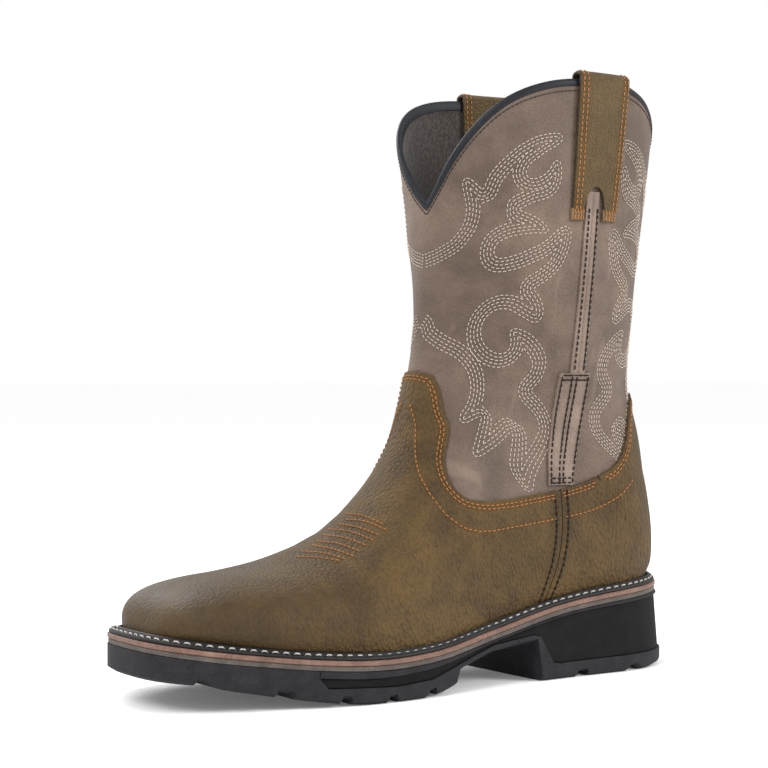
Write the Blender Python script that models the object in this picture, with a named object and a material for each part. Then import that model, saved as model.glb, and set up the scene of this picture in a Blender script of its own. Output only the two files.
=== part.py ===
"""A left western work boot, built up on the sections of its own last.

Metres, +Z up. +X points to the toe and +Y to the outer side of the foot.
The flat spots under the heel and the ball of the foot lie on z = 0.
"""
import bmesh
import bpy
import numpy as np

# Driving sizes of the boot
LAST_LENGTH = 0.298
BALL_WIDTH = 0.1075
INSTEP_HEIGHT = 0.120
HEEL_HEIGHT = 0.0473

# Leather and gaps
WALL = 0.0024
WALL_FACE = -0.0005
OVERLAY_INSIDE = -0.0002
OVERLAY_OUTSIDE = 0.0012
GAP = 0.0003
MERGE = 0.000002

# Sole: the ledge outside the feather edge, and the thickness of each layer
HEEL_LEDGE = 0.007
TOE_LEDGE = 0.009
HEEL_FLARE = 0.0025
WELT_DEPTH = 0.0020
MIDSOLE_DEPTH = 0.0028
LOWER_DEPTH = 0.0025
LAYER_INSET = 0.0005
WEDGE_INSET = 0.0012
EDGE_CHAMFER = 0.0016
TREAD_INSET = 0.0025
GROOVE_DEPTH = 0.0026

# Plan of the last: how far its two ends are rounded, and how squarely
HEEL_ROUND = 0.040
TOE_ROUND = 0.028
HEEL_POWER = 2.1
TOE_POWER = 2.7
FEATHER_POWER = 2.2
TOE_FALL = 0.042
TOE_FALL_POWER = 2.2
TOE_SETTLE = 0.1

TOTAL_LENGTH = LAST_LENGTH + HEEL_LEDGE + HEEL_FLARE + TOE_LEDGE
HEEL_X = -TOTAL_LENGTH / 2 + HEEL_LEDGE + HEEL_FLARE
TOE_X = HEEL_X + LAST_LENGTH
HEEL_ROW = 10

SIDES = {"lateral": 1.0, "medial": -1.0}

# The feather edge, where the upper meets the sole. Station in percent of the
# length, half widths in percent of the ball width, rise in percent of the heel.
FEATHER_COLUMNS = ("station", "lateral", "medial", "rise")
FEATHER = {
    "heel": (0.0, 29.3, 33.0, 100.0),
    "seat": (11.7, 30.2, 34.0, 95.1),
    "breast": (26.2, 31.6, 30.7, 85.2),
    "waist": (41.9, 36.7, 32.1, 66.0),
    "little_toe_joint": (57.0, 46.0, 40.0, 51.4),
    "ball": (67.8, 47.9, 46.5, 49.0),
    "great_toe_joint": (77.2, 44.2, 47.5, 52.6),
    "toes": (87.2, 36.7, 43.3, 59.6),
    "toe": (100.0, 28.8, 35.3, 71.5),
}

# Sections of the upper, each a plane through a back point and a top point.
# Back and top in percent of the length, rises in percent of the instep height,
# half widths in percent of the ball width, then the share of the section where
# it is widest and the power of its crown. Foot sections stand on the feather
# edge, so their back rise is worked out from it.
SECTION_COLUMNS = ("back", "back_rise", "top", "top_rise", "lateral", "medial", "widest", "crown")
SECTIONS = {
    "toe": (100.0, 0.0, 100.0, 50.0, 33.5, 39.1, 0.32, 2.6),
    "box": (90.6, 0.0, 90.6, 48.3, 40.0, 45.6, 0.32, 2.45),
    "cap": (80.5, 0.0, 81.2, 50.4, 47.4, 49.3, 0.30, 2.35),
    "ball": (71.1, 0.0, 72.1, 55.8, 50.7, 49.3, 0.28, 2.15),
    "vamp": (62.1, 0.0, 63.8, 65.8, 48.4, 43.7, 0.27, 2.0),
    "waist": (52.0, 0.0, 56.7, 81.7, 43.7, 40.0, 0.28, 1.95),
    "instep": (40.3, 0.0, 51.7, 100.0, 40.0, 37.2, 0.30, 1.95),
    "shank": (26.8, 0.0, 49.7, 117.5, 38.1, 37.2, 0.31, 1.95),
    "breast": (12.8, 0.0, 48.5, 131.7, 37.2, 37.2, 0.32, 2.0),
    "seat": (3.7, 0.0, 47.8, 144.2, 37.2, 37.2, 0.32, 2.0),
    "heel": (0.0, 0.0, 47.3, 155.0, 37.2, 37.2, 0.33, 2.05),
    "counter": (-0.5, 58.3, 47.0, 165.8, 38.1, 38.1, 0.40, 2.1),
    "quarter": (2.0, 90.0, 46.8, 177.5, 40.0, 40.0, 0.46, 2.15),
    "ankle": (4.9, 123.3, 47.0, 190.0, 42.8, 42.8, 0.49, 2.15),
    "shaft": (3.7, 158.3, 47.3, 205.0, 45.6, 45.6, 0.50, 2.15),
    "calf": (2.0, 193.3, 48.3, 221.7, 47.4, 47.4, 0.50, 2.15),
    "upper": (0.0, 226.7, 49.7, 240.8, 48.4, 48.4, 0.50, 2.15),
    "collar": (-1.7, 262.5, 51.3, 262.5, 49.3, 49.3, 0.50, 2.15),
}

# The collar's height from the front notch (0) round to the back seam (1)
COLLAR_COLUMNS = ("around", "height")
COLLAR = {
    "front_notch": (0.0, 0.2440),
    "notch_wall": (0.06, 0.2540),
    "notch_slope": (0.12, 0.2660),
    "front_turn": (0.20, 0.2810),
    "front_shoulder": (0.30, 0.2960),
    "strap_front": (0.40, 0.3045),
    "strap": (0.50, 0.3078),
    "strap_back": (0.60, 0.3075),
    "back_shoulder": (0.70, 0.3020),
    "back_turn": (0.80, 0.2920),
    "back_slope": (0.90, 0.2810),
    "back_dip": (1.0, 0.2760),
}
BEAD_HEIGHT = 0.0025
BEAD_HALF_WIDTH = 0.0019

# Ledge of the sole outside the feather edge, and where the heel's flare begins
LEDGE_COLUMNS = ("x", "width")
LEDGE = {
    "heel": (HEEL_X, HEEL_LEDGE),
    "breast": (-0.075, 0.0065),
    "waist": (-0.020, 0.0060),
    "ball": (0.055, 0.0060),
    "toes": (0.110, 0.0070),
    "toe": (TOE_X, TOE_LEDGE),
}
FLARE_START = -0.020
FLARE_RUN = 0.040

# Side of the sole: x, thickness of the grey rim, top of the outsole, its bottom
RIM_COLUMNS = ("x", "thickness")
RIM = {
    "heel": (-0.157, 0.0018),
    "seat": (-0.115, 0.0018),
    "heel_front": (-0.083, 0.0014),
    "waist": (-0.049, 0.0012),
    "arch": (-0.022, 0.0012),
    "tread_end": (0.002, 0.0021),
    "joint": (0.022, 0.0029),
    "ball": (0.044, 0.0035),
    "front": (0.085, 0.0036),
}
WEDGE_FLOOR_COLUMNS = ("x", "height")
WEDGE_FLOOR = {
    "heel_back": (-0.159, 0.0093),
    "heel": (-0.115, 0.0089),
    "heel_front": (-0.066, 0.0085),
    "breast_foot": (-0.0615, 0.0095),
    "breast_head": (-0.0535, 0.0230),
    "waist": (-0.0495, 0.0243),
    "arch": (-0.022, 0.0212),
    "tread_end": (0.002, 0.0148),
    "joint": (0.022, 0.0090),
    "ball": (0.044, 0.0078),
    "tip": (0.0798, 0.0093),
}
WEDGE_TIP_FOOT = 0.0798
WEDGE_TIP_HEAD = 0.0840
TREAD_COLUMNS = ("x", "height")
TREAD = {
    "heel_end": (-0.159, 0.0042),
    "heel_roll": (-0.149, 0.0026),
    "heel_roll_end": (-0.139, 0.0006),
    "heel_flat": (-0.131, 0.0),
    "breast_foot": (-0.0545, 0.0),
    "breast_head": (-0.0515, 0.0205),
    "arch": (-0.022, 0.0176),
    "tread_step": (0.0025, 0.0110),
    "tread_end": (0.0052, 0.0040),
    "joint": (0.014, 0.0016),
    "ball_flat": (0.026, 0.0),
    "ball_flat_end": (0.058, 0.0),
    "toe_spring": (0.072, 0.0013),
    "toes": (0.088, 0.0036),
    "toe_lift": (0.104, 0.0064),
    "toe_turn": (0.119, 0.0092),
    "toe_under": (0.140, 0.0136),
    "toe_end": (0.158, 0.0150),
}

# Grooves that part the lugs at both edges of the tread: centre and width
GROOVES = {
    "toe_lug": (0.136, 0.008),
    "toes_lug": (0.100, 0.008),
    "ball_front_lug": (0.0705, 0.005),
    "ball_back_lug": (0.0455, 0.005),
    "joint_lug": (0.0215, 0.005),
    "heel_front_lug": (-0.082, 0.007),
    "heel_back_lug": (-0.117, 0.008),
}
LUG_LENGTH = 0.021

# Edges of the brown leather, seen from the side
VAMP_EDGE = {
    "ahead_of_peak": (0.020, 0.1580),
    "peak": (-0.003, 0.1578),
    "peak_corner": (-0.0068, 0.1560),
    "tab_side": (-0.0082, 0.1500),
    "tab_foot": (-0.0085, 0.1370),
    "ear": (-0.0095, 0.1300),
    "under_ear": (-0.0075, 0.1230),
    "throat": (-0.0042, 0.1110),
    "throat_turn": (-0.0050, 0.1020),
    "throat_foot": (-0.0100, 0.0952),
    "side_front": (-0.0190, 0.0928),
    "side": (-0.0330, 0.0930),
    "side_back": (-0.0500, 0.0948),
    "seam_top": (-0.0685, 0.0972),
}
SEAM_EDGE = {
    "seam_top": (-0.0685, 0.0972),
    "seam_high": (-0.0690, 0.0800),
    "seam_low": (-0.0670, 0.0620),
    "seam_foot": (-0.0610, 0.0420),
}
COUNTER_EDGE = {
    "seam_top": (-0.0685, 0.0972),
    "side": (-0.0830, 0.1000),
    "side_rise": (-0.0965, 0.1046),
    "back_turn": (-0.1040, 0.1086),
    "back_rise": (-0.1100, 0.1154),
    "tab_foot": (-0.1140, 0.1235),
    "tab_side": (-0.1165, 0.1330),
    "tab_shoulder": (-0.1200, 0.1410),
    "tab_top": (-0.1280, 0.1465),
    "behind_tab": (-0.1600, 0.1480),
}
OUTLINE_STEP = 0.006
CUT_REACH = 0.200
CUT_WIDTH = 0.100

# Side seam pieces and pull straps, seen from the side: centre, half width, height
BAND_COLUMNS = ("x", "half", "z")
SEAM_STRIP = {
    "foot": (-0.0775, 0.0042, 0.1585),
    "middle": (-0.0792, 0.0042, 0.2000),
    "head": (-0.0812, 0.0042, 0.2435),
}
SEAM_PATCH = {
    "foot": (-0.0695, 0.0078, 0.0995),
    "head": (-0.0762, 0.0087, 0.1570),
}
STRAP = {
    "foot": (-0.0830, 0.0151, 0.2400),
    "middle": (-0.0850, 0.0161, 0.2720),
    "head": (-0.0876, 0.0173, 0.3040),
}
STRAP_TOP = 0.3085
STRAP_NOTCH_X = -0.0815
STRAP_NOTCH_HALF = 0.0068
STRAP_NOTCH_HEIGHT = 0.0125
STRAP_CROWN = 0.0006
STRAP_ACROSS = 8
STRAP_THICKNESS = 0.0017
STRAP_LIFT = 0.0008
STRAP_INNER_FOOT = 0.2620
STRAP_BLEND = 0.0300
STRIP_THICKNESS = 0.0010
PATCH_THICKNESS = 0.0013

# Welt: each corner's place outside the feather edge, as a share of the ledge
# and a further distance, and its height over the feather edge
WELT_COLUMNS = ("share", "out", "height")
WELT_PROFILE = {
    "inner_foot": (0.0, -0.0046, -0.0020),
    "outer_foot": (1.0, -0.0008, -0.0020),
    "outer_head": (1.0, -0.0008, -0.0006),
    "ledge": (1.0, -0.0014, -0.0003),
    "bead_foot": (0.0, 0.0046, -0.0002),
    "bead_top": (0.0, 0.0038, 0.0013),
    "bead_inside": (0.0, 0.0027, 0.0010),
    "bead_heel": (0.0, 0.0024, -0.0003),
    "inner_head": (0.0, -0.0046, -0.0003),
}
INSOLE_MARGIN = 0.0049
INSOLE_TOP = 0.0015

# Mesh divisions
END_STEPS = 5
FORM_COLUMNS = 34
OVERLAY_ROWS = 5
SHAFT_ROWS = 8
SOLE_STATIONS = (
    -0.102, -0.084, -0.0660, -0.0615, -0.0545, -0.0515, -0.0495, -0.035, -0.022, -0.010,
    0.0025, 0.0052, 0.014, 0.026, 0.042, 0.058, 0.0705, 0.0801, 0.0843, 0.0846, 0.095, 0.109,
)
PLAIN_STATIONS = (-0.102, -0.080, -0.058, -0.035, -0.012, 0.010, 0.032, 0.052, 0.072, 0.090, 0.108)
FOOT_STATIONS = (-0.092, -0.070, -0.046, -0.022, 0.003, 0.028, 0.052, 0.076, 0.099)


def curve(stations, values, at):
    """A smooth curve through the values: cubic pieces with averaged slopes."""
    stations = np.asarray(stations, float)
    values = np.asarray(values, float)
    slopes = np.gradient(values, stations)
    at = np.clip(at, stations[0], stations[-1])
    piece = np.clip(np.searchsorted(stations, at) - 1, 0, len(stations) - 2)
    width = stations[piece + 1] - stations[piece]
    t = (at - stations[piece]) / width
    start = (2 * t ** 3 - 3 * t ** 2 + 1) * values[piece]
    end = (3 * t ** 2 - 2 * t ** 3) * values[piece + 1]
    leave = (t ** 3 - 2 * t ** 2 + t) * width * slopes[piece]
    arrive = (t ** 3 - t ** 2) * width * slopes[piece + 1]
    return start + leave + end + arrive


def columns(names, rows):
    """The named columns of a table, as arrays."""
    numbers = np.array(list(rows.values()), float)
    return {name: numbers[:, place] for place, name in enumerate(names)}


def feather_table():
    """The feather edge in metres, heel first."""
    share = columns(FEATHER_COLUMNS, FEATHER)
    return {
        "x": HEEL_X + share["station"] / 100 * LAST_LENGTH,
        "lateral": share["lateral"] / 100 * BALL_WIDTH,
        "medial": share["medial"] / 100 * BALL_WIDTH,
        "height": share["rise"] / 100 * HEEL_HEIGHT,
    }


FEATHER_SIZES = feather_table()


def feather_height(x):
    """Height of the feather edge at x, carried straight on past its two ends."""
    stations = FEATHER_SIZES["x"]
    heights = FEATHER_SIZES["height"]
    slopes = np.gradient(heights, stations)
    past = slopes[-1] * np.maximum(x - stations[-1], 0)
    before = slopes[0] * np.minimum(x - stations[0], 0)
    return curve(stations, heights, x) + past + before


def section_table():
    """The upper's sections in metres, toe first."""
    share = columns(SECTION_COLUMNS, SECTIONS)
    back_x = HEEL_X + share["back"] / 100 * LAST_LENGTH
    back_z = share["back_rise"] / 100 * INSTEP_HEIGHT
    foot = np.arange(len(back_x)) <= HEEL_ROW
    return {
        "at": np.arange(len(back_x), dtype=float),
        "back_x": back_x,
        "back_z": np.where(foot, feather_height(back_x), back_z),
        "top_x": HEEL_X + share["top"] / 100 * LAST_LENGTH,
        "top_z": share["top_rise"] / 100 * INSTEP_HEIGHT,
        "lateral": share["lateral"] / 100 * BALL_WIDTH,
        "medial": share["medial"] / 100 * BALL_WIDTH,
        "widest": share["widest"],
        "crown": share["crown"],
    }


SECTION_SIZES = section_table()


def section(column, at):
    """One size of the upper's sections at a place between them."""
    return curve(SECTION_SIZES["at"], SECTION_SIZES[column], at)


def end_closure(x, grow_heel, grow_toe, heel=True):
    """How far the plan narrows at its two ends: 1 in the middle, 0 at the tips."""
    toe_round = TOE_ROUND + grow_toe
    front = np.clip((x - TOE_X - grow_toe + toe_round) / toe_round, 0, 1)
    closure = (1 - front ** TOE_POWER) ** (1 / TOE_POWER)
    if heel:
        heel_round = HEEL_ROUND + grow_heel
        back = np.clip((HEEL_X - grow_heel + heel_round - x) / heel_round, 0, 1)
        closure = closure * (1 - back ** HEEL_POWER) ** (1 / HEEL_POWER)
    return closure


def feather_half(x, side, grow):
    """Half width of the feather edge at x, with its outline moved out by grow."""
    half = curve(FEATHER_SIZES["x"], FEATHER_SIZES[side], x) + grow
    return half * end_closure(x, grow, grow)


def end_stations(tip, rounding, power, steps):
    """x along a rounded end, closest together at its tip."""
    angle = np.linspace(0, np.pi / 2, steps + 1)
    return tip + rounding * (1 - np.cos(angle) ** (2 / power))


def ridge(at):
    """The line of top points, in x and z."""
    top_x = section("top_x", at)
    foot = np.where(at <= HEEL_ROW, feather_height(section("back_x", at)), section("back_z", at))
    fall = np.clip((top_x - TOE_X + TOE_FALL) / TOE_FALL, 0, 1)
    share = (1 - fall ** TOE_FALL_POWER) ** (1 / TOE_FALL_POWER)
    return top_x, foot + (section("top_z", at) - foot) * share


def section_line(at, grow):
    """Back point and top point of a section, on a form moved out by grow."""
    step = 0.01
    top_x, top_z = ridge(at)
    ahead_x, ahead_z = ridge(np.minimum(at + step, SECTION_SIZES["at"][-1]))
    behind_x, behind_z = ridge(np.maximum(at - step, 0))
    run_x = ahead_x - behind_x
    run_z = ahead_z - behind_z
    reach = np.hypot(run_x, run_z)
    settle = np.clip(at / TOE_SETTLE, 0, 1)
    top_x = top_x + grow * (1 + (run_z / reach - 1) * settle)
    top_z = top_z - grow * run_x / reach * settle
    middle = (HEEL_X + TOE_X) / 2
    back_x = section("back_x", at)
    stretched = middle + (back_x - middle) * (1 + grow / (TOE_X - middle))
    foot = at <= HEEL_ROW
    tip_rise = feather_height(stretched) - feather_height(back_x)
    top_z = top_z + tip_rise * (1 - settle)
    back_x = np.where(foot, stretched, back_x - grow)
    back_z = np.where(foot, feather_height(back_x), section("back_z", at))
    return back_x, back_z, top_x, top_z


def half_widths(at, side, grow):
    """Full half width of a section, and its half width at the feather edge."""
    foot = at <= HEEL_ROW
    back_x = section_line(at, grow)[0]
    full = (section(side, at) + grow) * end_closure(back_x, grow, grow, heel=False)
    edge = np.where(foot, feather_half(back_x, side, grow), 0.0)
    return np.maximum(full, edge * 1.02 + 1e-9), edge


def boot_form(around, at, grow):
    """The boot's surface, moved out by grow.

    around runs from -1 at the lateral feather edge over the top, 0, to 1 at
    the medial one. A section is a superellipse over its widest line and a
    rounder one under it, which ends at the feather edge, or at the back seam.
    """
    around, at = np.broadcast_arrays(np.asarray(around, float), np.asarray(at, float))
    back_x, back_z, top_x, top_z = section_line(at, grow)
    full_lateral, edge_lateral = half_widths(at, "lateral", grow)
    full_medial, edge_medial = half_widths(at, "medial", grow)
    lateral = around < 0
    full = np.where(lateral, full_lateral, full_medial)
    edge = np.where(lateral, edge_lateral, edge_medial)
    widest = section("widest", at)
    crown = section("crown", at)
    low = np.arccos(np.clip(edge / full, 0, 1) ** (FEATHER_POWER / 2))
    angle = np.pi / 2 - np.abs(around) * (np.pi / 2 + low)
    cosine = np.clip(np.cos(angle), 0, 1)
    sine = np.abs(np.sin(angle))
    over = angle >= 0
    power = np.where(over, crown, FEATHER_POWER)
    rise = widest + (1 - widest) * sine ** (2 / crown)
    dip = widest * (1 - (sine / np.maximum(np.sin(low), 1e-9)) ** (2 / FEATHER_POWER))
    share = np.where(over, rise, np.maximum(dip, 0.0))
    half = full * cosine ** (2 / power)
    half = np.where((np.abs(around) >= 1) | (np.abs(around) < 1e-9), edge * (np.abs(around) >= 1), half)
    x = back_x + (top_x - back_x) * share
    z = back_z + (top_z - back_z) * share
    return np.stack([x, np.where(lateral, half, -half), z], axis=-1)


def side_point(x, z, side, grow):
    """The point of the grown form that is at x and z, seen from its side."""
    low = np.full(np.shape(x), 3.0)
    high = np.full(np.shape(x), SECTION_SIZES["at"][-1])
    for _ in range(44):
        middle = (low + high) / 2
        back_x, back_z, top_x, top_z = section_line(middle, grow)
        over = (x - back_x) * (top_z - back_z) - (z - back_z) * (top_x - back_x) < 0
        low = np.where(over, middle, low)
        high = np.where(over, high, middle)
    at = (low + high) / 2
    back_x, back_z, top_x, top_z = section_line(at, grow)
    run_x = top_x - back_x
    run_z = top_z - back_z
    share = ((x - back_x) * run_x + (z - back_z) * run_z) / (run_x ** 2 + run_z ** 2)
    full, edge = half_widths(at, side, grow)
    widest = section("widest", at)
    crown = section("crown", at)
    rise = np.clip((share - widest) / (1 - widest), 0, 1)
    over_half = (1 - rise ** crown) ** (1 / crown)
    sine = np.sqrt(1 - np.clip(edge / full, 0, 1) ** FEATHER_POWER)
    dip = np.clip(1 - share / widest, 0, 1) ** (FEATHER_POWER / 2) * sine
    under_half = (1 - dip ** 2) ** (1 / FEATHER_POWER)
    y = full * np.where(share >= widest, over_half, under_half)
    return np.stack([x, SIDES[side] * y, z], axis=-1)


def row_at_height(around, height, grow, start):
    """Where, from a starting section up, each column reaches a height."""
    low = np.full(np.shape(around), float(start))
    high = np.full(np.shape(around), SECTION_SIZES["at"][-1])
    for _ in range(44):
        middle = (low + high) / 2
        under = boot_form(around, middle, grow)[..., 2] < height
        low = np.where(under, middle, low)
        high = np.where(under, high, middle)
    return (low + high) / 2


def rim_row(around):
    """Where each column of the upper ends, under the collar's bead."""
    collar = columns(COLLAR_COLUMNS, COLLAR)
    height = curve(collar["around"], collar["height"], np.abs(around)) - BEAD_HEIGHT - GAP
    return row_at_height(around, height, WALL_FACE, HEEL_ROW)


def foot_rows():
    """Places of the foot's sections, from the toe to the back of the heel."""
    toe = -end_stations(-TOE_X, TOE_ROUND, TOE_POWER, END_STEPS)
    heel = end_stations(HEEL_X, HEEL_ROUND, HEEL_POWER, END_STEPS)
    x = np.concatenate([toe, FOOT_STATIONS[::-1], heel[::-1]])
    places = np.linspace(0, HEEL_ROW, 2001)
    return np.interp(-x, -section("back_x", places), places)


def form_grid():
    """Columns around and, for each, its places from the toe up to the collar."""
    around = np.linspace(-1, 1, FORM_COLUMNS + 1)
    foot = np.repeat(foot_rows()[:, None], len(around), axis=1)
    share = np.linspace(0, 1, SHAFT_ROWS + 1)[1:, None]
    shaft = HEEL_ROW + (rim_row(around) - HEEL_ROW)[None, :] * share
    grid_at = np.vstack([foot, shaft])
    return np.repeat(around[None, :], len(grid_at), axis=0), grid_at, len(foot)


def split_square(a, b, c, d, lateral):
    """Two triangles over a square, parted towards the toe on both sides."""
    if lateral:
        return [(a, b, c), (a, c, d)]
    return [(a, b, d), (b, c, d)]


def shell_mesh(name, outer, inner, foot_count):
    """A shell between two grids, open at its last row and under the foot."""
    rows, count = outer.shape[:2]
    points = np.vstack([outer.reshape(-1, 3), inner.reshape(-1, 3)])
    index = np.arange(rows * count).reshape(rows, count)
    under = rows * count
    faces = []
    for row in range(rows - 1):
        for place in range(count - 1):
            a, b = index[row, place], index[row, place + 1]
            c, d = index[row + 1, place + 1], index[row + 1, place]
            for corners in split_square(a, b, c, d, place < count // 2):
                faces.append(corners)
                faces.append(tuple(corner + under for corner in corners[::-1]))
    for place in range(count - 1):
        a, b = index[-1, place], index[-1, place + 1]
        faces.append((a, b, b + under, a + under))
    for row in range(foot_count - 1):
        a, b = index[row, 0], index[row + 1, 0]
        faces.append((a, b, b + under, a + under))
        a, b = index[row, -1], index[row + 1, -1]
        faces.append((b, a, a + under, b + under))
    return mesh_object(name, points, faces)


def plate_mesh(name, outer, inner):
    """A closed plate between two grids, with all four edges walled."""
    rows, count = outer.shape[:2]
    points = np.vstack([outer.reshape(-1, 3), inner.reshape(-1, 3)])
    index = np.arange(rows * count).reshape(rows, count)
    under = rows * count
    faces = []
    for row in range(rows - 1):
        for place in range(count - 1):
            a, b = index[row, place], index[row, place + 1]
            c, d = index[row + 1, place + 1], index[row + 1, place]
            faces.append((a, b, c, d))
            faces.append((d + under, c + under, b + under, a + under))
    rim = list(index[0, :]) + list(index[1:, -1]) + list(index[-1, -2::-1]) + list(index[-2:0:-1, 0])
    for a, b in zip(rim, rim[1:] + rim[:1]):
        faces.append((b, a, a + under, b + under))
    return mesh_object(name, points, faces)


def ring_mesh(name, rings, closed, capped):
    """A loft through rings of points: a closed loop, or one with end caps."""
    rings = np.asarray(rings)
    total, count = rings.shape[:2]
    faces = []
    for ring in range(total if closed else total - 1):
        following = (ring + 1) % total
        for place in range(count):
            beside = (place + 1) % count
            faces.append((ring * count + place, ring * count + beside,
                          following * count + beside, following * count + place))
    if capped:
        faces.append(tuple(range(count))[::-1])
        faces.append(tuple(range((total - 1) * count, total * count)))
    return mesh_object(name, rings.reshape(-1, 3), faces)


def mesh_object(name, points, faces):
    """An object from points and faces, merged and with its faces outwards."""
    work = bmesh.new()
    corners = [work.verts.new(point) for point in points]
    for face in faces:
        used = [corners[place] for place in face]
        if work.faces.get(used) is None:
            work.faces.new(used)
    bmesh.ops.remove_doubles(work, verts=work.verts, dist=MERGE)
    bmesh.ops.dissolve_degenerate(work, edges=work.edges, dist=MERGE)
    loose = [corner for corner in work.verts if not corner.link_faces]
    bmesh.ops.delete(work, geom=loose, context="VERTS")
    bmesh.ops.recalc_face_normals(work, faces=work.faces)
    mesh = bpy.data.meshes.new(name)
    work.to_mesh(mesh)
    work.free()
    mesh.shade_smooth()
    mesh.set_sharp_from_angle(angle=0.7)
    return bpy.data.objects.new(name, mesh)


def ledge(x):
    """Width of the sole's ledge outside the feather edge."""
    table = columns(LEDGE_COLUMNS, LEDGE)
    return np.interp(x, table["x"], table["width"])


def flare(x):
    """How much wider the sole is at the foot of the heel than at its head."""
    return HEEL_FLARE * np.clip((FLARE_START - x) / FLARE_RUN, 0, 1)


def sole_plan(share, out, flared, stations, front=None):
    """Both sides of the sole's plan at the stations, heel first."""
    grow_heel = share * HEEL_LEDGE + out + flared * HEEL_FLARE
    grow_toe = share * TOE_LEDGE + out
    heel = end_stations(HEEL_X - grow_heel, HEEL_ROUND + grow_heel, HEEL_POWER, END_STEPS)
    if front is None:
        toe = -end_stations(-TOE_X - grow_toe, TOE_ROUND + grow_toe, TOE_POWER, END_STEPS)[::-1]
        x = np.concatenate([heel, stations, toe])
    else:
        x = np.concatenate([heel, [place for place in stations if place < WEDGE_TIP_FOOT], [front]])
    halves = []
    for side in SIDES:
        half = curve(FEATHER_SIZES["x"], FEATHER_SIZES[side], x) + share * ledge(x) + out + flared * flare(x)
        halves.append(half * end_closure(x, grow_heel, grow_toe))
    return x, halves[0], halves[1]


def slab(name, levels, stations=PLAIN_STATIONS):
    """A layer of the sole from its levels, lowest first.

    Each level has its share of the ledge, a further distance out, its share
    of the heel's flare, its height as a function of x, and its front end.
    """
    plans = []
    for share, out, flared, height, front in levels:
        x, lateral, medial = sole_plan(share, out, flared, stations, front)
        plans.append((x, lateral, medial, height(x)))
    rings = []
    for place in range(len(plans[0][0])):
        up = [(x[place], lateral[place], z[place]) for x, lateral, medial, z in plans]
        down = [(x[place], -medial[place], z[place]) for x, lateral, medial, z in plans[::-1]]
        rings.append(up + down)
    return ring_mesh(name, rings, closed=False, capped=levels[0][4] is not None)


def welt_foot(x):
    """Underside of the welt."""
    return feather_height(x) - WELT_DEPTH


def midsole_foot(x):
    """Underside of the tan midsole."""
    return welt_foot(x) - MIDSOLE_DEPTH


def lower_foot(x):
    """Underside of the taupe layer."""
    return midsole_foot(x) - LOWER_DEPTH


def rim_foot(x):
    """Underside of the grey rim."""
    rim = columns(RIM_COLUMNS, RIM)
    return lower_foot(x) - curve(rim["x"], rim["thickness"], x)


def wedge_foot(x):
    """Underside of the black wedge."""
    floor = columns(WEDGE_FLOOR_COLUMNS, WEDGE_FLOOR)
    return np.interp(x, floor["x"], floor["height"])


def tread_foot(x):
    """Underside of the outsole."""
    tread = columns(TREAD_COLUMNS, TREAD)
    return np.interp(x, tread["x"], tread["height"])


def outsole_head(x):
    """Top of the outsole: under the wedge, and ahead of it up to the taupe layer."""
    climb = (x - WEDGE_TIP_FOOT - GAP) / (WEDGE_TIP_HEAD - WEDGE_TIP_FOOT)
    slope = wedge_foot(x) - GAP + (rim_foot(x) - wedge_foot(x)) * np.clip(climb, 0, 1)
    return np.where(x > WEDGE_TIP_HEAD + 2 * GAP - 1e-9, lower_foot(x) - GAP, slope)


def make_outsole():
    """Rubber outsole with heel, arch, toe spring and a chamfered tread edge."""
    levels = (
        (1.0, -TREAD_INSET, 1.0, tread_foot, None),
        (1.0, 0.0, 1.0, lambda x: tread_foot(x) + EDGE_CHAMFER, None),
        (1.0, 0.0, 1.0, outsole_head, None),
    )
    return slab("outsole", levels, SOLE_STATIONS)


def make_wedge():
    """Foam wedge, set back from the outsole under it and the rim over it."""
    levels = (
        (1.0, -WEDGE_INSET, 1.0, wedge_foot, WEDGE_TIP_FOOT),
        (1.0, -WEDGE_INSET, 0.2, lambda x: rim_foot(x) - GAP, WEDGE_TIP_HEAD),
    )
    return slab("sole_wedge", levels, SOLE_STATIONS)


def make_rim():
    """Thin grey rim that runs on from the outsole's toe over the wedge."""
    levels = (
        (1.0, 0.0, 0.2, rim_foot, WEDGE_TIP_HEAD),
        (1.0, 0.0, 0.0, lambda x: lower_foot(x) - GAP, WEDGE_TIP_HEAD),
    )
    return slab("sole_rim", levels)


def make_midsoles():
    """The two layers under the welt: taupe, and tan over it."""
    lower = (
        (1.0, -LAYER_INSET, 0.0, lower_foot, None),
        (1.0, -LAYER_INSET, 0.0, lambda x: midsole_foot(x) - GAP, None),
    )
    upper = (
        (1.0, 0.0, 0.0, midsole_foot, None),
        (1.0, 0.0, 0.0, lambda x: welt_foot(x) - GAP, None),
    )
    return slab("midsole_lower", lower), slab("midsole", upper)


def make_insole():
    """Insole inside the welt, up to a little over the feather edge."""
    levels = (
        (0.0, -INSOLE_MARGIN, 0.0, welt_foot, None),
        (0.0, -INSOLE_MARGIN, 0.0, lambda x: feather_height(x) + INSOLE_TOP, None),
    )
    return slab("insole", levels)


def make_welt():
    """Welt with its stitch ledge and the bead against the upper."""
    profile = columns(WELT_COLUMNS, WELT_PROFILE)
    corners = []
    for share, out, height in zip(profile["share"], profile["out"], profile["height"]):
        x, lateral, medial = sole_plan(share, out, 0.0, PLAIN_STATIONS)
        loop_x = np.concatenate([x, x[-2:0:-1]])
        loop_y = np.concatenate([lateral, -medial[-2:0:-1]])
        corners.append(np.stack([loop_x, loop_y, feather_height(loop_x) + height], axis=-1))
    return ring_mesh("welt", np.stack(corners, axis=1), closed=True, capped=False)


def make_upper():
    """One hollow wall from the feather edge to the collar, open at both."""
    grid_around, grid_at, foot_count = form_grid()
    outer = boot_form(grid_around, grid_at, WALL_FACE)
    inner = boot_form(grid_around, grid_at, WALL_FACE - WALL)
    return shell_mesh("upper", outer, inner, foot_count), outer[-1], inner[-1]


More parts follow.
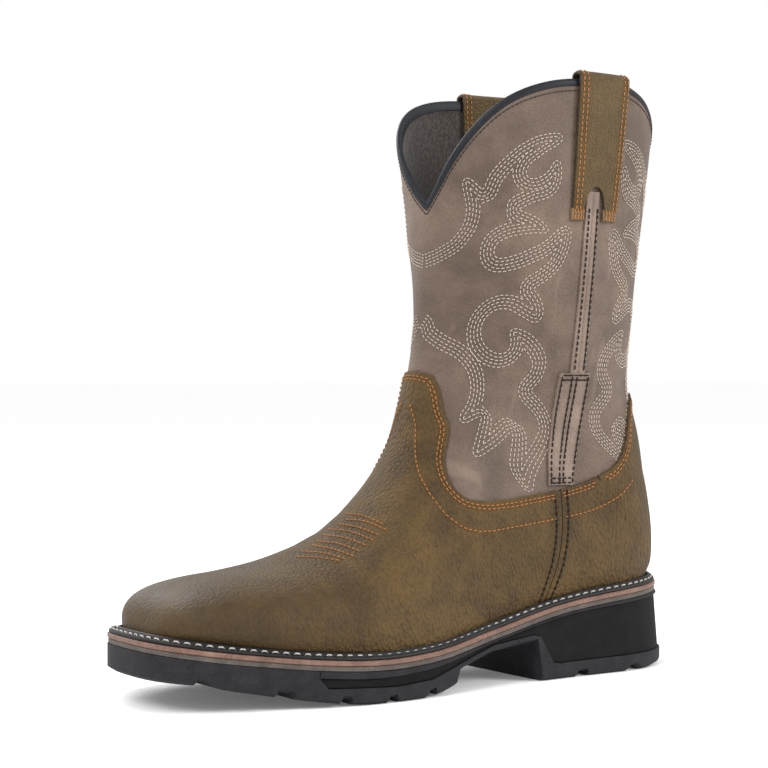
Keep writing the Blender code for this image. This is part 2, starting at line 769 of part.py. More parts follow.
def make_binding(outer_rim, inner_rim):
    """Bead on the upper's rim: a rounded profile carried round the collar."""
    outer = outer_rim[:-1]
    inner = inner_rim[:-1]
    middle = (outer + inner) / 2
    across = outer - inner
    across = across / np.linalg.norm(across, axis=1, keepdims=True)
    along = np.roll(middle, -1, axis=0) - np.roll(middle, 1, axis=0)
    along = along / np.linalg.norm(along, axis=1, keepdims=True)
    rise = np.cross(along, across)
    rise = rise * np.sign(rise[:, 2:3])
    corners = []
    for width, height in ((-1.0, 0.0), (-1.0, 0.55), (-0.55, 0.95), (0.0, 1.0),
                          (0.55, 0.95), (1.0, 0.55), (1.0, 0.0)):
        corners.append(middle + across * width * BEAD_HALF_WIDTH + rise * (GAP + height * BEAD_HEIGHT))
    return ring_mesh("collar_binding", np.stack(corners, axis=1), closed=True, capped=False)


def make_overlay(name):
    """Brown leather layer over the foot, before its edge is cut.

    Its grid is the upper's own, so that both are faceted alike.
    """
    grid_around, grid_at, foot_count = form_grid()
    rows = foot_count + OVERLAY_ROWS
    outer = boot_form(grid_around[:rows], grid_at[:rows], OVERLAY_OUTSIDE)
    inner = boot_form(grid_around[:rows], grid_at[:rows], OVERLAY_INSIDE)
    return shell_mesh(name, outer, inner, foot_count)


def smooth_line(points):
    """Points along a smooth line through the given ones, evenly stepped."""
    points = np.array(list(points), float)
    run = np.concatenate([[0], np.cumsum(np.hypot(*np.diff(points, axis=0).T))])
    at = np.linspace(0, run[-1], max(2, int(run[-1] / OUTLINE_STEP)) + 1)
    return [(curve(run, points[:, 0], place), curve(run, points[:, 1], place)) for place in at]


def side_prism(name, outline):
    """A cutter with an outline seen from the side, through the whole boot."""
    work = bmesh.new()
    corners = [work.verts.new((x, -CUT_WIDTH, z)) for x, z in outline]
    face = work.faces.new(corners)
    grown = bmesh.ops.extrude_face_region(work, geom=[face])
    moved = [item for item in grown["geom"] if isinstance(item, bmesh.types.BMVert)]
    bmesh.ops.translate(work, verts=moved, vec=(0, 2 * CUT_WIDTH, 0))
    bmesh.ops.recalc_face_normals(work, faces=work.faces)
    mesh = bpy.data.meshes.new(name)
    work.to_mesh(mesh)
    work.free()
    return bpy.data.objects.new(name, mesh)


def vamp_outline():
    """Outline of the vamp's cutter: throat, seam, and far ahead of the toe."""
    throat = smooth_line(VAMP_EDGE.values())
    seam = smooth_line(SEAM_EDGE.values())[1:]
    seam = [(x + GAP, z) for x, z in seam]
    far = [(seam[-1][0], -0.010), (CUT_REACH, -0.010), (CUT_REACH, throat[0][1])]
    return throat + seam + far


def counter_outline():
    """Outline of the counter's cutter: top line, and far behind the heel."""
    top = smooth_line(COUNTER_EDGE.values())
    seam = smooth_line(SEAM_EDGE.values())[:0:-1]
    seam = [(x - GAP, z) for x, z in seam]
    far = [(-CUT_REACH, top[-1][1]), (-CUT_REACH, -0.010), (seam[0][0], -0.010)]
    return [(top[0][0] - GAP, top[0][1])] + top[1:] + far + seam


def groove_cutter():
    """All the grooves between the edge lugs, as one set of boxes."""
    work = bmesh.new()
    for centre, width in GROOVES.values():
        head = float(tread_foot(centre)) + GROOVE_DEPTH
        for side, sign in SIDES.items():
            half = curve(FEATHER_SIZES["x"], FEATHER_SIZES[side], centre) + ledge(centre)
            reach = LUG_LENGTH + 0.020
            made = bmesh.ops.create_cube(work, size=1.0)
            bmesh.ops.scale(work, verts=made["verts"], vec=(width, reach, head + 0.010))
            place = (centre, sign * (half - LUG_LENGTH + reach / 2), (head - 0.010) / 2)
            bmesh.ops.translate(work, verts=made["verts"], vec=place)
    mesh = bpy.data.meshes.new("groove_cutter")
    work.to_mesh(mesh)
    work.free()
    return bpy.data.objects.new("groove_cutter", mesh)


def band_points(table, heights, steps):
    """x and z over a band seen from the side, across its width and up it."""
    band = columns(BAND_COLUMNS, table)
    across = np.linspace(-1, 1, steps + 1)
    centre = np.interp(heights, band["z"], band["x"])
    half = np.interp(heights, band["z"], band["half"])
    x = centre[:, None] + half[:, None] * across[None, :]
    return x, np.repeat(heights[:, None], steps + 1, axis=1)


def make_seam_piece(name, table, side, thickness, rows):
    """A flat strip or patch of leather on the side of the shaft."""
    heights = np.linspace(table["foot"][2], table["head"][2], rows + 1)
    x, z = band_points(table, heights, 2)
    lift = WALL_FACE + GAP
    outer = side_point(x, z, side, lift + thickness)
    inner = side_point(x, z, side, lift)
    return plate_mesh(name, outer, inner)


def strap_notch(x):
    """How far the strap's foot is cut up over the side seam at x."""
    beside = np.clip(np.abs(x - STRAP_NOTCH_X) / STRAP_NOTCH_HALF, 0, 1)
    return STRAP_NOTCH_HEIGHT * np.sqrt(1 - beside ** 2)


def make_strap(side):
    """Pull strap: up the outside, over the collar's bead and down inside."""
    band = columns(BAND_COLUMNS, STRAP)
    across = np.linspace(-1, 1, STRAP_ACROSS + 1)
    level = np.full(across.shape, STRAP_TOP)
    outside_lift = WALL_FACE + GAP + STRAP_LIFT
    inside_lift = WALL_FACE - WALL - GAP - STRAP_LIFT
    outer_rows = []
    inner_rows = []
    foot_x = band["x"][0] + band["half"][0] * across
    foot_z = STRAP["foot"][2] + strap_notch(foot_x)
    for share in np.linspace(0, 1, 5):
        z = foot_z + (level - foot_z) * share
        x = np.interp(z, band["z"], band["x"]) + np.interp(z, band["z"], band["half"]) * across
        lift = WALL_FACE + GAP + STRAP_LIFT * np.clip((z - STRAP["foot"][2]) / STRAP_BLEND, 0, 1)
        outer_rows.append(side_point(x, z, side, lift + STRAP_THICKNESS))
        inner_rows.append(side_point(x, z, side, lift))
    head_x = band["x"][-1] + band["half"][-1] * across
    outside = side_point(head_x, level, side, outside_lift)
    inside = side_point(head_x, level, side, inside_lift)
    centre = (outside + inside) / 2
    width = np.abs(outside - inside)[:, 1:2] / 2
    outward = np.array([[0.0, SIDES[side], 0.0]])
    upward = np.array([[0.0, 0.0, 1.0]])
    for angle in np.linspace(0, np.pi, 6)[1:-1]:
        turn = outward * np.cos(angle)
        lift = upward * np.sin(angle)
        inner_rows.append(centre + turn * width + lift * STRAP_CROWN)
        outer_rows.append(centre + turn * (width + STRAP_THICKNESS)
                          + lift * (STRAP_CROWN + STRAP_THICKNESS))
    for share in np.linspace(0, 1, 4):
        z = level + (STRAP_INNER_FOOT - level) * share
        inner_rows.append(side_point(head_x, z, side, inside_lift))
        outer_rows.append(side_point(head_x, z, side, inside_lift - STRAP_THICKNESS))
    return plate_mesh("pull_strap_" + side, np.array(outer_rows), np.array(inner_rows))


def leather(name, colour, roughness):
    """A plain surface with the part's own colour."""
    material = bpy.data.materials.new(name)
    material.use_nodes = True
    shader = material.node_tree.nodes["Principled BSDF"]
    shader.inputs["Base Color"].default_value = (*colour, 1.0)
    shader.inputs["Roughness"].default_value = roughness
    shader.inputs["Metallic"].default_value = 0.0
    material.diffuse_color = (*colour, 1.0)
    return material


def add_part(collection, thing, material):
    """Puts a piece in the boot's collection with its material."""
    thing.data.materials.append(material)
    collection.objects.link(thing)
    return thing


def cut(thing, cutter, operation):
    """Cuts a piece with a cutter, or keeps what is inside it."""
    modifier = thing.modifiers.new(cutter.name, "BOOLEAN")
    modifier.object = cutter
    modifier.operation = operation
    modifier.solver = "EXACT"


def add_cutter(collection, cutter):
    """Puts a cutter in its own collection, shown as wire and not rendered."""
    cutter.hide_render = True
    cutter.display_type = "WIRE"
    collection.objects.link(cutter)
    return cutter


def build_boot():
    """Makes every piece of the boot."""
    for old in list(bpy.data.objects):
        bpy.data.objects.remove(old, do_unlink=True)
    boot = bpy.data.collections.new("western_work_boot")
    cutters = bpy.data.collections.new("cutters")
    bpy.context.scene.collection.children.link(boot)
    bpy.context.scene.collection.children.link(cutters)

    brown = leather("brown_leather", (0.16, 0.105, 0.045), 0.62)
    taupe = leather("taupe_leather", (0.24, 0.185, 0.150), 0.70)
    black = leather("black_piping", (0.012, 0.014, 0.020), 0.45)
    grey_rubber = leather("grey_rubber", (0.045, 0.045, 0.055), 0.60)
    black_foam = leather("black_foam", (0.012, 0.011, 0.011), 0.75)
    tan = leather("tan_midsole", (0.30, 0.145, 0.100), 0.60)
    lower_taupe = leather("taupe_midsole", (0.155, 0.115, 0.090), 0.65)
    cloth = leather("insole_cloth", (0.070, 0.055, 0.045), 0.90)

    outsole = add_part(boot, make_outsole(), grey_rubber)
    cut(outsole, add_cutter(cutters, groove_cutter()), "DIFFERENCE")
    add_part(boot, make_wedge(), black_foam)
    add_part(boot, make_rim(), grey_rubber)
    lower, tan_layer = make_midsoles()
    add_part(boot, lower, lower_taupe)
    add_part(boot, tan_layer, tan)
    add_part(boot, make_welt(), black)
    add_part(boot, make_insole(), cloth)

    upper, outer_rim, inner_rim = make_upper()
    add_part(boot, upper, taupe)
    add_part(boot, make_binding(outer_rim, inner_rim), black)
    vamp = add_part(boot, make_overlay("vamp"), brown)
    cut(vamp, add_cutter(cutters, side_prism("vamp_cutter", vamp_outline())), "INTERSECT")
    counter = add_part(boot, make_overlay("counter"), brown)
    cut(counter, add_cutter(cutters, side_prism("counter_cutter", counter_outline())), "INTERSECT")

    for side in SIDES:
        strip = make_seam_piece("seam_strip_" + side, SEAM_STRIP, side, STRIP_THICKNESS, 8)
        add_part(boot, strip, taupe)
        patch = make_seam_piece("seam_patch_" + side, SEAM_PATCH, side, PATCH_THICKNESS, 6)
        add_part(boot, patch, taupe)
        add_part(boot, make_strap(side), brown)


build_boot()
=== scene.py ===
"""Looks of a western work boot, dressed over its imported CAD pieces.

The leather is one smooth form, worked out from the sections of the boot's last.
Every leather piece, seam and stitch lies on that form. Metres, +X to the toe,
+Y to the outer side of the foot, +Z up.
"""
import logging
import math
from collections.abc import Callable, Iterable
from dataclasses import dataclass, field
from enum import Enum
from functools import cache

import bmesh
import bpy
import numpy as np
from mathutils import Matrix
from mathutils.kdtree import KDTree


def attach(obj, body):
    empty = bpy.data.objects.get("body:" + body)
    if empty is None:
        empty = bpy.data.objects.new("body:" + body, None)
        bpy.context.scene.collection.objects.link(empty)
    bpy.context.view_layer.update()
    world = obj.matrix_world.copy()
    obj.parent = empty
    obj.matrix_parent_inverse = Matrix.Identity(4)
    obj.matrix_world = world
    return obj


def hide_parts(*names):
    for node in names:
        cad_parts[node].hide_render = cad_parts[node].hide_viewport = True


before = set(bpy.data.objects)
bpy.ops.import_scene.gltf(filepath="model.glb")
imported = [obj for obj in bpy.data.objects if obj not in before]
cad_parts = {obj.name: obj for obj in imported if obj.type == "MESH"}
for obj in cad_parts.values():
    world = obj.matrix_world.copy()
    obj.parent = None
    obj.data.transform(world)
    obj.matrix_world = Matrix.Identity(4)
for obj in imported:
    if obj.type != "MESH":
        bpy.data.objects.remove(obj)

Array = np.ndarray
Row = tuple[float, ...]
log = logging.getLogger("boot")

VIEW_SIDE = 768.0
GAP = 0.0003
SUNK = 0.0006  # how far a hidden side goes into what carries it
WALL = 0.0024
WALL_FACE = -0.0005
OVERLAY_INSIDE = -0.0002
OVERLAY_OUTSIDE = 0.0012
HEEL_ROW = 10

# The feather edge: station in percent of the length, half widths in percent of
# the ball width, rise in percent of the heel height.
FEATHER = {
    "heel": (0.0, 29.3, 33.0, 100.0),
    "seat": (11.7, 30.2, 34.0, 95.1),
    "breast": (26.2, 31.6, 30.7, 85.2),
    "waist": (41.9, 36.7, 32.1, 66.0),
    "little_toe_joint": (57.0, 46.0, 40.0, 51.4),
    "ball": (67.8, 47.9, 46.5, 49.0),
    "great_toe_joint": (77.2, 44.2, 47.5, 52.6),
    "toes": (87.2, 36.7, 43.3, 59.6),
    "toe": (100.0, 28.8, 35.3, 71.5),
}

# Sections of the upper: back point and rise, top point and rise, lateral and
# medial half widths, the share where it is widest, the power of its crown.
SECTIONS = {
    "toe": (100.0, 0.0, 100.0, 50.0, 33.5, 39.1, 0.32, 2.6),
    "box": (90.6, 0.0, 90.6, 48.3, 40.0, 45.6, 0.32, 2.45),
    "cap": (80.5, 0.0, 81.2, 50.4, 47.4, 49.3, 0.30, 2.35),
    "ball": (71.1, 0.0, 72.1, 55.8, 50.7, 49.3, 0.28, 2.15),
    "vamp": (62.1, 0.0, 63.8, 65.8, 48.4, 43.7, 0.27, 2.0),
    "waist": (52.0, 0.0, 56.7, 81.7, 43.7, 40.0, 0.28, 1.95),
    "instep": (40.3, 0.0, 51.7, 100.0, 40.0, 37.2, 0.30, 1.95),
    "shank": (26.8, 0.0, 49.7, 117.5, 38.1, 37.2, 0.31, 1.95),
    "breast": (12.8, 0.0, 48.5, 131.7, 37.2, 37.2, 0.32, 2.0),
    "seat": (3.7, 0.0, 47.8, 144.2, 37.2, 37.2, 0.32, 2.0),
    "heel": (0.0, 0.0, 47.3, 155.0, 37.2, 37.2, 0.33, 2.05),
    "counter": (-0.5, 58.3, 47.0, 165.8, 38.1, 38.1, 0.40, 2.1),
    "quarter": (2.0, 90.0, 46.8, 177.5, 40.0, 40.0, 0.46, 2.15),
    "ankle": (4.9, 123.3, 47.0, 190.0, 42.8, 42.8, 0.49, 2.15),
    "shaft": (3.7, 158.3, 47.3, 205.0, 45.6, 45.6, 0.50, 2.15),
    "calf": (2.0, 193.3, 48.3, 221.7, 47.4, 47.4, 0.50, 2.15),
    "upper": (0.0, 226.7, 49.7, 240.8, 48.4, 48.4, 0.50, 2.15),
    "collar": (-1.7, 262.5, 51.3, 262.5, 49.3, 49.3, 0.50, 2.15),
}

# Height of the collar from the front notch (0) round to the back seam (1)
COLLAR = {
    "front_notch": (0.0, 0.2440),
    "notch_wall": (0.06, 0.2540),
    "notch_slope": (0.12, 0.2660),
    "front_turn": (0.20, 0.2810),
    "front_shoulder": (0.30, 0.2960),
    "strap_front": (0.40, 0.3045),
    "strap": (0.50, 0.3078),
    "strap_back": (0.60, 0.3075),
    "back_shoulder": (0.70, 0.3020),
    "back_turn": (0.80, 0.2920),
    "back_slope": (0.90, 0.2810),
    "back_dip": (1.0, 0.2760),
}

# Edges of the brown leather, seen from the side
VAMP_EDGE = {
    "peak_corner": (-0.0068, 0.1560),
    "tab_side": (-0.0082, 0.1500),
    "tab_foot": (-0.0085, 0.1370),
    "ear": (-0.0095, 0.1300),
    "under_ear": (-0.0075, 0.1230),
    "throat": (-0.0042, 0.1110),
    "throat_turn": (-0.0050, 0.1020),
    "throat_foot": (-0.0100, 0.0952),
    "side_front": (-0.0190, 0.0928),
    "side": (-0.0330, 0.0930),
    "side_back": (-0.0500, 0.0948),
    "seam_top": (-0.0685, 0.0972),
}
SEAM_EDGE = {
    "seam_top": (-0.0685, 0.0972),
    "seam_high": (-0.0690, 0.0800),
    "seam_low": (-0.0670, 0.0620),
    "seam_foot": (-0.0610, 0.0400),
}
COUNTER_EDGE = {
    "seam_top": (-0.0685, 0.0972),
    "side": (-0.0830, 0.1000),
    "side_rise": (-0.0965, 0.1046),
    "back_turn": (-0.1040, 0.1086),
    "back_rise": (-0.1100, 0.1154),
    "tab_foot": (-0.1140, 0.1235),
    "tab_side": (-0.1165, 0.1330),
    "tab_shoulder": (-0.1200, 0.1410),
    "tab_top": (-0.1280, 0.1465),
}

# Bands on the side of the shaft: centre, half width and height
SEAM_STRIP = {
    "foot": (-0.0775, 0.0042, 0.1570),
    "middle": (-0.0792, 0.0042, 0.2000),
    "head": (-0.0812, 0.0042, 0.2500),
}
SEAM_PATCH = {"foot": (-0.0695, 0.0078, 0.0995), "head": (-0.0762, 0.0087, 0.1570)}
STRAP = {
    "foot": (-0.0830, 0.0151, 0.2400),
    "middle": (-0.0850, 0.0161, 0.2720),
    "head": (-0.0876, 0.0173, 0.3040),
}

# Side of the sole: x and height, or x and thickness
LEDGE = {
    "heel": (-0.14875, 0.0070),
    "breast": (-0.075, 0.0065),
    "waist": (-0.020, 0.0060),
    "ball": (0.055, 0.0060),
    "toes": (0.110, 0.0070),
    "toe": (0.14925, 0.0090),
}
RIM = {
    "heel": (-0.157, 0.0018),
    "seat": (-0.115, 0.0018),
    "heel_front": (-0.083, 0.0014),
    "waist": (-0.049, 0.0012),
    "arch": (-0.022, 0.0012),
    "tread_end": (0.002, 0.0021),
    "joint": (0.022, 0.0029),
    "ball": (0.044, 0.0035),
    "front": (0.085, 0.0036),
}
WEDGE_FLOOR = {
    "heel_back": (-0.159, 0.0093),
    "heel": (-0.115, 0.0089),
    "heel_front": (-0.066, 0.0085),
    "breast_foot": (-0.0615, 0.0095),
    "breast_head": (-0.0535, 0.0230),
    "waist": (-0.0495, 0.0243),
    "arch": (-0.022, 0.0212),
    "tread_end": (0.002, 0.0148),
    "joint": (0.022, 0.0090),
    "ball": (0.044, 0.0078),
    "tip": (0.0798, 0.0093),
}
TREAD = {
    "heel_end": (-0.159, 0.0042),
    "heel_roll": (-0.149, 0.0026),
    "heel_roll_end": (-0.139, 0.0006),
    "heel_flat": (-0.131, 0.0),
    "breast_foot": (-0.0545, 0.0),
    "breast_head": (-0.0515, 0.0205),
    "arch": (-0.022, 0.0176),
    "tread_step": (0.0025, 0.0110),
    "tread_end": (0.0052, 0.0040),
    "joint": (0.014, 0.0016),
    "ball_flat": (0.026, 0.0),
    "ball_flat_end": (0.058, 0.0),
    "toe_spring": (0.072, 0.0013),
    "toes": (0.088, 0.0036),
    "toe_lift": (0.104, 0.0064),
    "toe_turn": (0.119, 0.0092),
    "toe_under": (0.140, 0.0136),
    "toe_end": (0.158, 0.0150),
}
GROOVES = {
    "toe_lug": (0.136, 0.008),
    "toes_lug": (0.100, 0.008),
    "ball_front_lug": (0.0705, 0.005),
    "ball_back_lug": (0.0455, 0.005),
    "joint_lug": (0.0215, 0.005),
    "heel_front_lug": (-0.082, 0.007),
    "heel_back_lug": (-0.117, 0.008),
}

# The scroll stitched on the shaft, as its first row runs over the 768-pixel view
# from the front centre, over five points and back. The other rows lie inside it.
SCROLL = {
    "front_rise": (
        (419.3, 255.8), (427.0, 253.9), (435.3, 250.4), (443.6, 245.6), (451.9, 240.2),
        (458.3, 232.8), (463.4, 224.9), (466.2, 215.0), (466.5, 205.4), (464.6, 195.2),
        (463.2, 188.0), (463.0, 181.0)),
    "short_point": (
        (464.6, 178.6), (467.6, 177.8), (470.0, 178.6), (473.4, 181.3), (477.6, 185.2),
        (481.5, 188.9), (483.4, 190.1)),
    "upper_sweep": (
        (484.6, 187.2), (487.0, 181.0), (490.4, 174.4), (496.0, 167.1), (503.4, 159.3),
        (511.0, 152.6), (518.0, 146.8), (525.5, 142.4), (534.6, 137.6), (543.4, 134.9),
        (552.2, 133.6)),
    "upper_point": ((557.0, 133.2), (560.6, 134.4), (562.6, 137.4), (562.0, 140.6), (558.6, 143.6)),
    "upper_bay": (
        (553.0, 147.5), (545.4, 151.9), (537.4, 157.9), (531.0, 162.6), (527.4, 167.4),
        (525.8, 172.4), (526.6, 175.8), (529.0, 178.2), (532.8, 179.0), (537.4, 178.5),
        (542.0, 176.2), (546.2, 173.2), (549.6, 169.4), (552.4, 165.0)),
    "middle_point": ((554.2, 161.6), (556.8, 160.2), (559.6, 161.6), (560.8, 164.6)),
    "middle_outside": (
        (561.2, 169.0), (561.0, 177.8), (559.8, 183.4), (556.6, 190.2), (552.0, 195.2),
        (545.0, 198.6), (536.4, 200.8), (530.0, 203.4), (523.4, 206.8)),
    "middle_bay": ((519.4, 208.6), (518.8, 209.4), (520.4, 210.6)),
    "low_point_top": (
        (525.0, 212.6), (531.6, 215.2), (538.2, 218.8), (543.6, 223.2), (547.2, 227.2)),
    "low_point": ((548.4, 229.8), (547.6, 232.0), (544.8, 233.2)),
    "eye_top": (
        (539.6, 232.7), (530.0, 233.2), (520.4, 234.4), (511.6, 236.0), (504.4, 238.8),
        (498.4, 242.2), (494.8, 246.8), (493.8, 251.6)),
    "eye_foot": (
        (494.5, 256.0), (497.0, 258.2), (503.4, 258.3), (512.0, 256.4), (520.6, 253.6),
        (529.6, 249.4), (539.2, 245.2), (547.2, 239.8), (553.8, 233.6), (559.0, 229.2)),
    "right_point": ((563.0, 226.8), (566.8, 226.4), (569.6, 228.6), (570.7, 232.4)),
    "right_outside": (
        (570.2, 240.2), (567.4, 250.6), (563.4, 260.4), (558.0, 269.4), (551.0, 276.4),
        (543.6, 282.0), (536.4, 286.4)),
    "right_notch": ((533.2, 287.8), (533.6, 289.4)),
    "hook_outside": (
        (537.4, 294.0), (540.6, 300.0), (542.6, 307.0), (542.8, 312.8)),
    "hook_point": ((541.4, 317.4), (538.2, 321.2), (534.2, 322.6), (530.6, 321.4)),
    "ring_top": (
        (525.0, 318.2), (518.2, 314.2), (510.4, 309.8), (505.0, 308.8), (497.8, 309.3),
        (490.6, 312.8), (484.6, 319.0), (481.2, 326.2), (480.5, 333.0)),
    "ring_foot": (
        (481.8, 340.0), (485.2, 346.0), (490.8, 351.2), (497.0, 353.7), (503.4, 353.6),
        (508.0, 350.8), (510.4, 346.4), (511.1, 341.0), (510.3, 335.0)),
    "ring_point": ((509.9, 331.6), (511.8, 329.6), (514.8, 328.8), (518.4, 328.9)),
    "lower_outside": (
        (522.8, 330.8), (529.8, 334.2), (535.8, 339.8), (540.6, 346.0), (544.0, 352.8),
        (545.6, 361.6), (544.0, 370.4), (541.4, 377.4), (536.8, 383.4), (532.8, 387.6)),
    "lower_notch": ((530.9, 389.8), (531.4, 391.8)),
    "lower_sweep": (
        (534.6, 395.5), (540.4, 401.6), (545.6, 409.6), (549.4, 418.0), (551.6, 428.0),
        (551.4, 437.0), (548.2, 447.4), (543.6, 457.4), (538.6, 467.0), (534.6, 477.0),
        (533.0, 484.6)),
    "lowest_point": ((532.4, 489.6), (530.0, 492.0), (526.4, 491.2)),
    "lowest_inside": (
        (522.6, 487.4), (517.0, 480.2), (512.0, 472.4), (509.6, 464.0), (510.0, 456.6),
        (511.4, 447.0), (512.4, 437.0), (512.8, 432.4)),
    "inner_notch": ((512.4, 430.6), (511.0, 431.4)),
    "left_sweep": (
        (505.2, 437.2), (497.2, 444.6), (488.8, 450.6), (481.6, 455.2)),
    "left_point": ((477.4, 456.8), (474.2, 456.0), (472.8, 453.4), (472.8, 450.0)),
    "left_outside": (
        (474.6, 443.4), (476.6, 436.0), (478.6, 428.4), (480.6, 421.4), (481.3, 417.4)),
    "upper_notch": ((481.0, 415.4), (479.4, 416.2)),
    "small_sweep": ((473.0, 419.2), (466.6, 422.6)),
    "small_point": ((462.8, 423.0), (460.2, 421.4), (459.6, 418.4), (461.0, 413.6)),
    "left_rise": (
        (464.8, 408.2), (468.0, 401.6), (470.2, 393.8), (470.8, 386.0), (469.4, 376.6),
        (465.4, 367.8), (460.4, 361.8), (454.0, 356.4), (446.2, 352.4), (438.8, 348.7),
        (432.2, 344.4), (426.6, 340.2), (423.6, 336.6)),
    "front_tip": ((422.6, 333.0), (422.2, 329.0)),
}

# The single row of stitches under the brown leather's edge: by its points near
# the front, then as seen from the side
LOW_ROW_FRONT = {
    "tab": (-0.0012, 0.0036, 0.1415),
    "ear": (0.0001, 0.0100, 0.1299),
    "throat": (0.0033, 0.0138, 0.1182),
    "turn": (0.0060, 0.0204, 0.1070),
    "turn_foot": (0.0058, 0.0292, 0.0962),
}
LOW_ROW_SIDE = {
    "front": (0.0016, 0.0865),
    "front_low": (-0.0072, 0.0800),
    "low": (-0.0180, 0.0780),
    "side": (-0.0373, 0.0793),
    "seam": (-0.0649, 0.0823),
    "behind_seam": (-0.0829, 0.0847),
    "heel_rise": (-0.0980, 0.0886),
    "back_rise": (-0.1075, 0.0931),
    "back": (-0.1180, 0.1010),
}

# Rows of stitches over the instep, by their two ends on the same view
INSTEP_ROWS = {
    "row_1": ((346.6, 513.8), (363.4, 515.8), (383.8, 524.8)),
    "row_2": ((346.0, 519.8), (362.0, 520.8), (387.0, 530.2)),
    "row_3": ((338.6, 524.2), (356.0, 527.0), (379.0, 535.0)),
    "row_4": ((328.6, 529.4), (350.0, 531.6), (374.0, 540.6)),
    "row_5": ((322.0, 535.0), (345.0, 538.0), (366.0, 545.6)),
    "row_6": ((316.0, 541.4), (337.0, 543.6), (360.0, 551.4)),
    "row_7": ((311.6, 545.6), (332.0, 549.0), (354.0, 556.6)),
    "row_8": ((300.6, 551.6), (322.0, 553.0), (346.0, 559.4)),
    "row_9": ((296.0, 557.0), (316.0, 557.6), (340.0, 561.0)),
}

# Soft troughs (positive) and ridges of the worn leather: half width, depth and
# the places on the form that each passes through.
CREASES = {
    "flex_long": (0.0052, 0.00060, ((-0.60, 4.15), (-0.35, 4.0), (-0.05, 3.95), (0.3, 4.05), (0.6, 4.2))),
    "flex_back": (0.0046, 0.00045, ((-0.72, 4.9), (-0.5, 4.65), (-0.25, 4.5), (0.1, 4.5), (0.45, 4.7))),
    "flex_front": (0.0040, 0.00035, ((-0.48, 3.55), (-0.25, 3.42), (0.05, 3.40), (0.35, 3.55))),
    "ankle_fold": (0.0075, 0.00095, ((-0.78, 9.9), (-0.62, 9.3), (-0.46, 8.8), (-0.30, 8.4))),
    "ankle_ridge": (0.0070, -0.00050, ((-0.80, 10.9), (-0.62, 10.3), (-0.44, 9.8), (-0.28, 9.3))),
    "ankle_fold_inner": (0.0075, 0.00085, ((0.80, 9.9), (0.62, 9.3), (0.44, 8.8), (0.30, 8.4))),
    "back_fold": (0.0060, 0.00070, ((-0.97, 13.5), (-0.86, 12.9), (-0.74, 12.2), (-0.66, 11.6))),
    "back_fold_inner": (0.0060, 0.00070, ((0.97, 13.5), (0.86, 12.9), (0.74, 12.2), (0.66, 11.6))),
    "heel_fold": (0.0050, 0.00045, ((-0.95, 12.3), (-0.84, 11.9), (-0.74, 11.4))),
    "shaft_hollow": (0.0160, 0.00080, ((-0.30, 14.6), (-0.28, 13.4), (-0.26, 12.2), (-0.26, 11.2))),
    "shaft_swell": (0.0150, -0.00070, ((-0.16, 15.6), (-0.17, 14.4), (-0.18, 13.0))),
    "shaft_hollow_inner": (0.0160, 0.00080, ((0.30, 14.6), (0.28, 13.4), (0.26, 12.2), (0.26, 11.2))),
    "back_hollow": (0.0120, 0.00080, ((-0.78, 15.4), (-0.77, 14.4), (-0.75, 13.4))),
    "back_hollow_inner": (0.0120, 0.00080, ((0.78, 15.4), (0.77, 14.4), (0.75, 13.4))),
}


class Side(Enum):
    """The two sides of the boot, with the sign of their Y."""

    LATERAL = 1.0
    MEDIAL = -1.0


def table(rows: dict[str, Row]) -> list[Array]:
    """The columns of a table of named rows."""
    return list(np.array(list(rows.values()), float).T)


def curve(stations: Array, values: Array, at: Array) -> Array:
    """A smooth curve through values: cubic pieces with averaged slopes.

    Args:
        stations: Where the values stand, rising.
        values: The values there.
        at: Where the curve is wanted, held between the first and last station.

    Returns:
        The curve at those places.
    """
    slopes = np.gradient(values, stations)
    at = np.clip(at, stations[0], stations[-1])
    piece = np.clip(np.searchsorted(stations, at) - 1, 0, len(stations) - 2)
    width = stations[piece + 1] - stations[piece]
    t = (at - stations[piece]) / width
    start = (2 * t**3 - 3 * t**2 + 1) * values[piece]
    end = (3 * t**2 - 2 * t**3) * values[piece + 1]
    leave = (t**3 - 2 * t**2 + t) * width * slopes[piece]
    arrive = (t**3 - t**2) * width * slopes[piece + 1]
    return start + leave + end + arrive


def run_along(points: Array) -> Array:
    """Distance along a line of points, from its first."""
    return np.concatenate([[0.0], np.cumsum(np.linalg.norm(np.diff(points, axis=0), axis=1))])


def smooth_line(points: Array, step: float) -> Array:
    """A smooth line through points, resampled evenly.

    Args:
        points: The points, one a row.
        step: Distance between the new points.

    Returns:
        The new points, with both ends kept.
    """
    run = run_along(points)
    at = np.linspace(0, run[-1], max(2, int(run[-1] / step)) + 1)
    return np.stack([curve(run, column, at) for column in points.T], axis=-1)


def even_line(points: Array, step: float) -> Array:
    """The same line with straight pieces, resampled evenly."""
    run = run_along(points)
    at = np.linspace(0, run[-1], max(2, int(round(run[-1] / step))) + 1)
    return np.stack([np.interp(at, run, column) for column in points.T], axis=-1)


def unit(vectors: Array) -> Array:
    """Vectors of length one, or zero where there is no direction."""
    length = np.linalg.norm(vectors, axis=-1, keepdims=True)
    return vectors / np.maximum(length, 1e-12)


def bump_step(value: Array, start: float, end: float) -> Array:
    """A smooth step from 0 at start to 1 at end."""
    t = np.clip((value - start) / (end - start), 0, 1)
    return t * t * (3 - 2 * t)


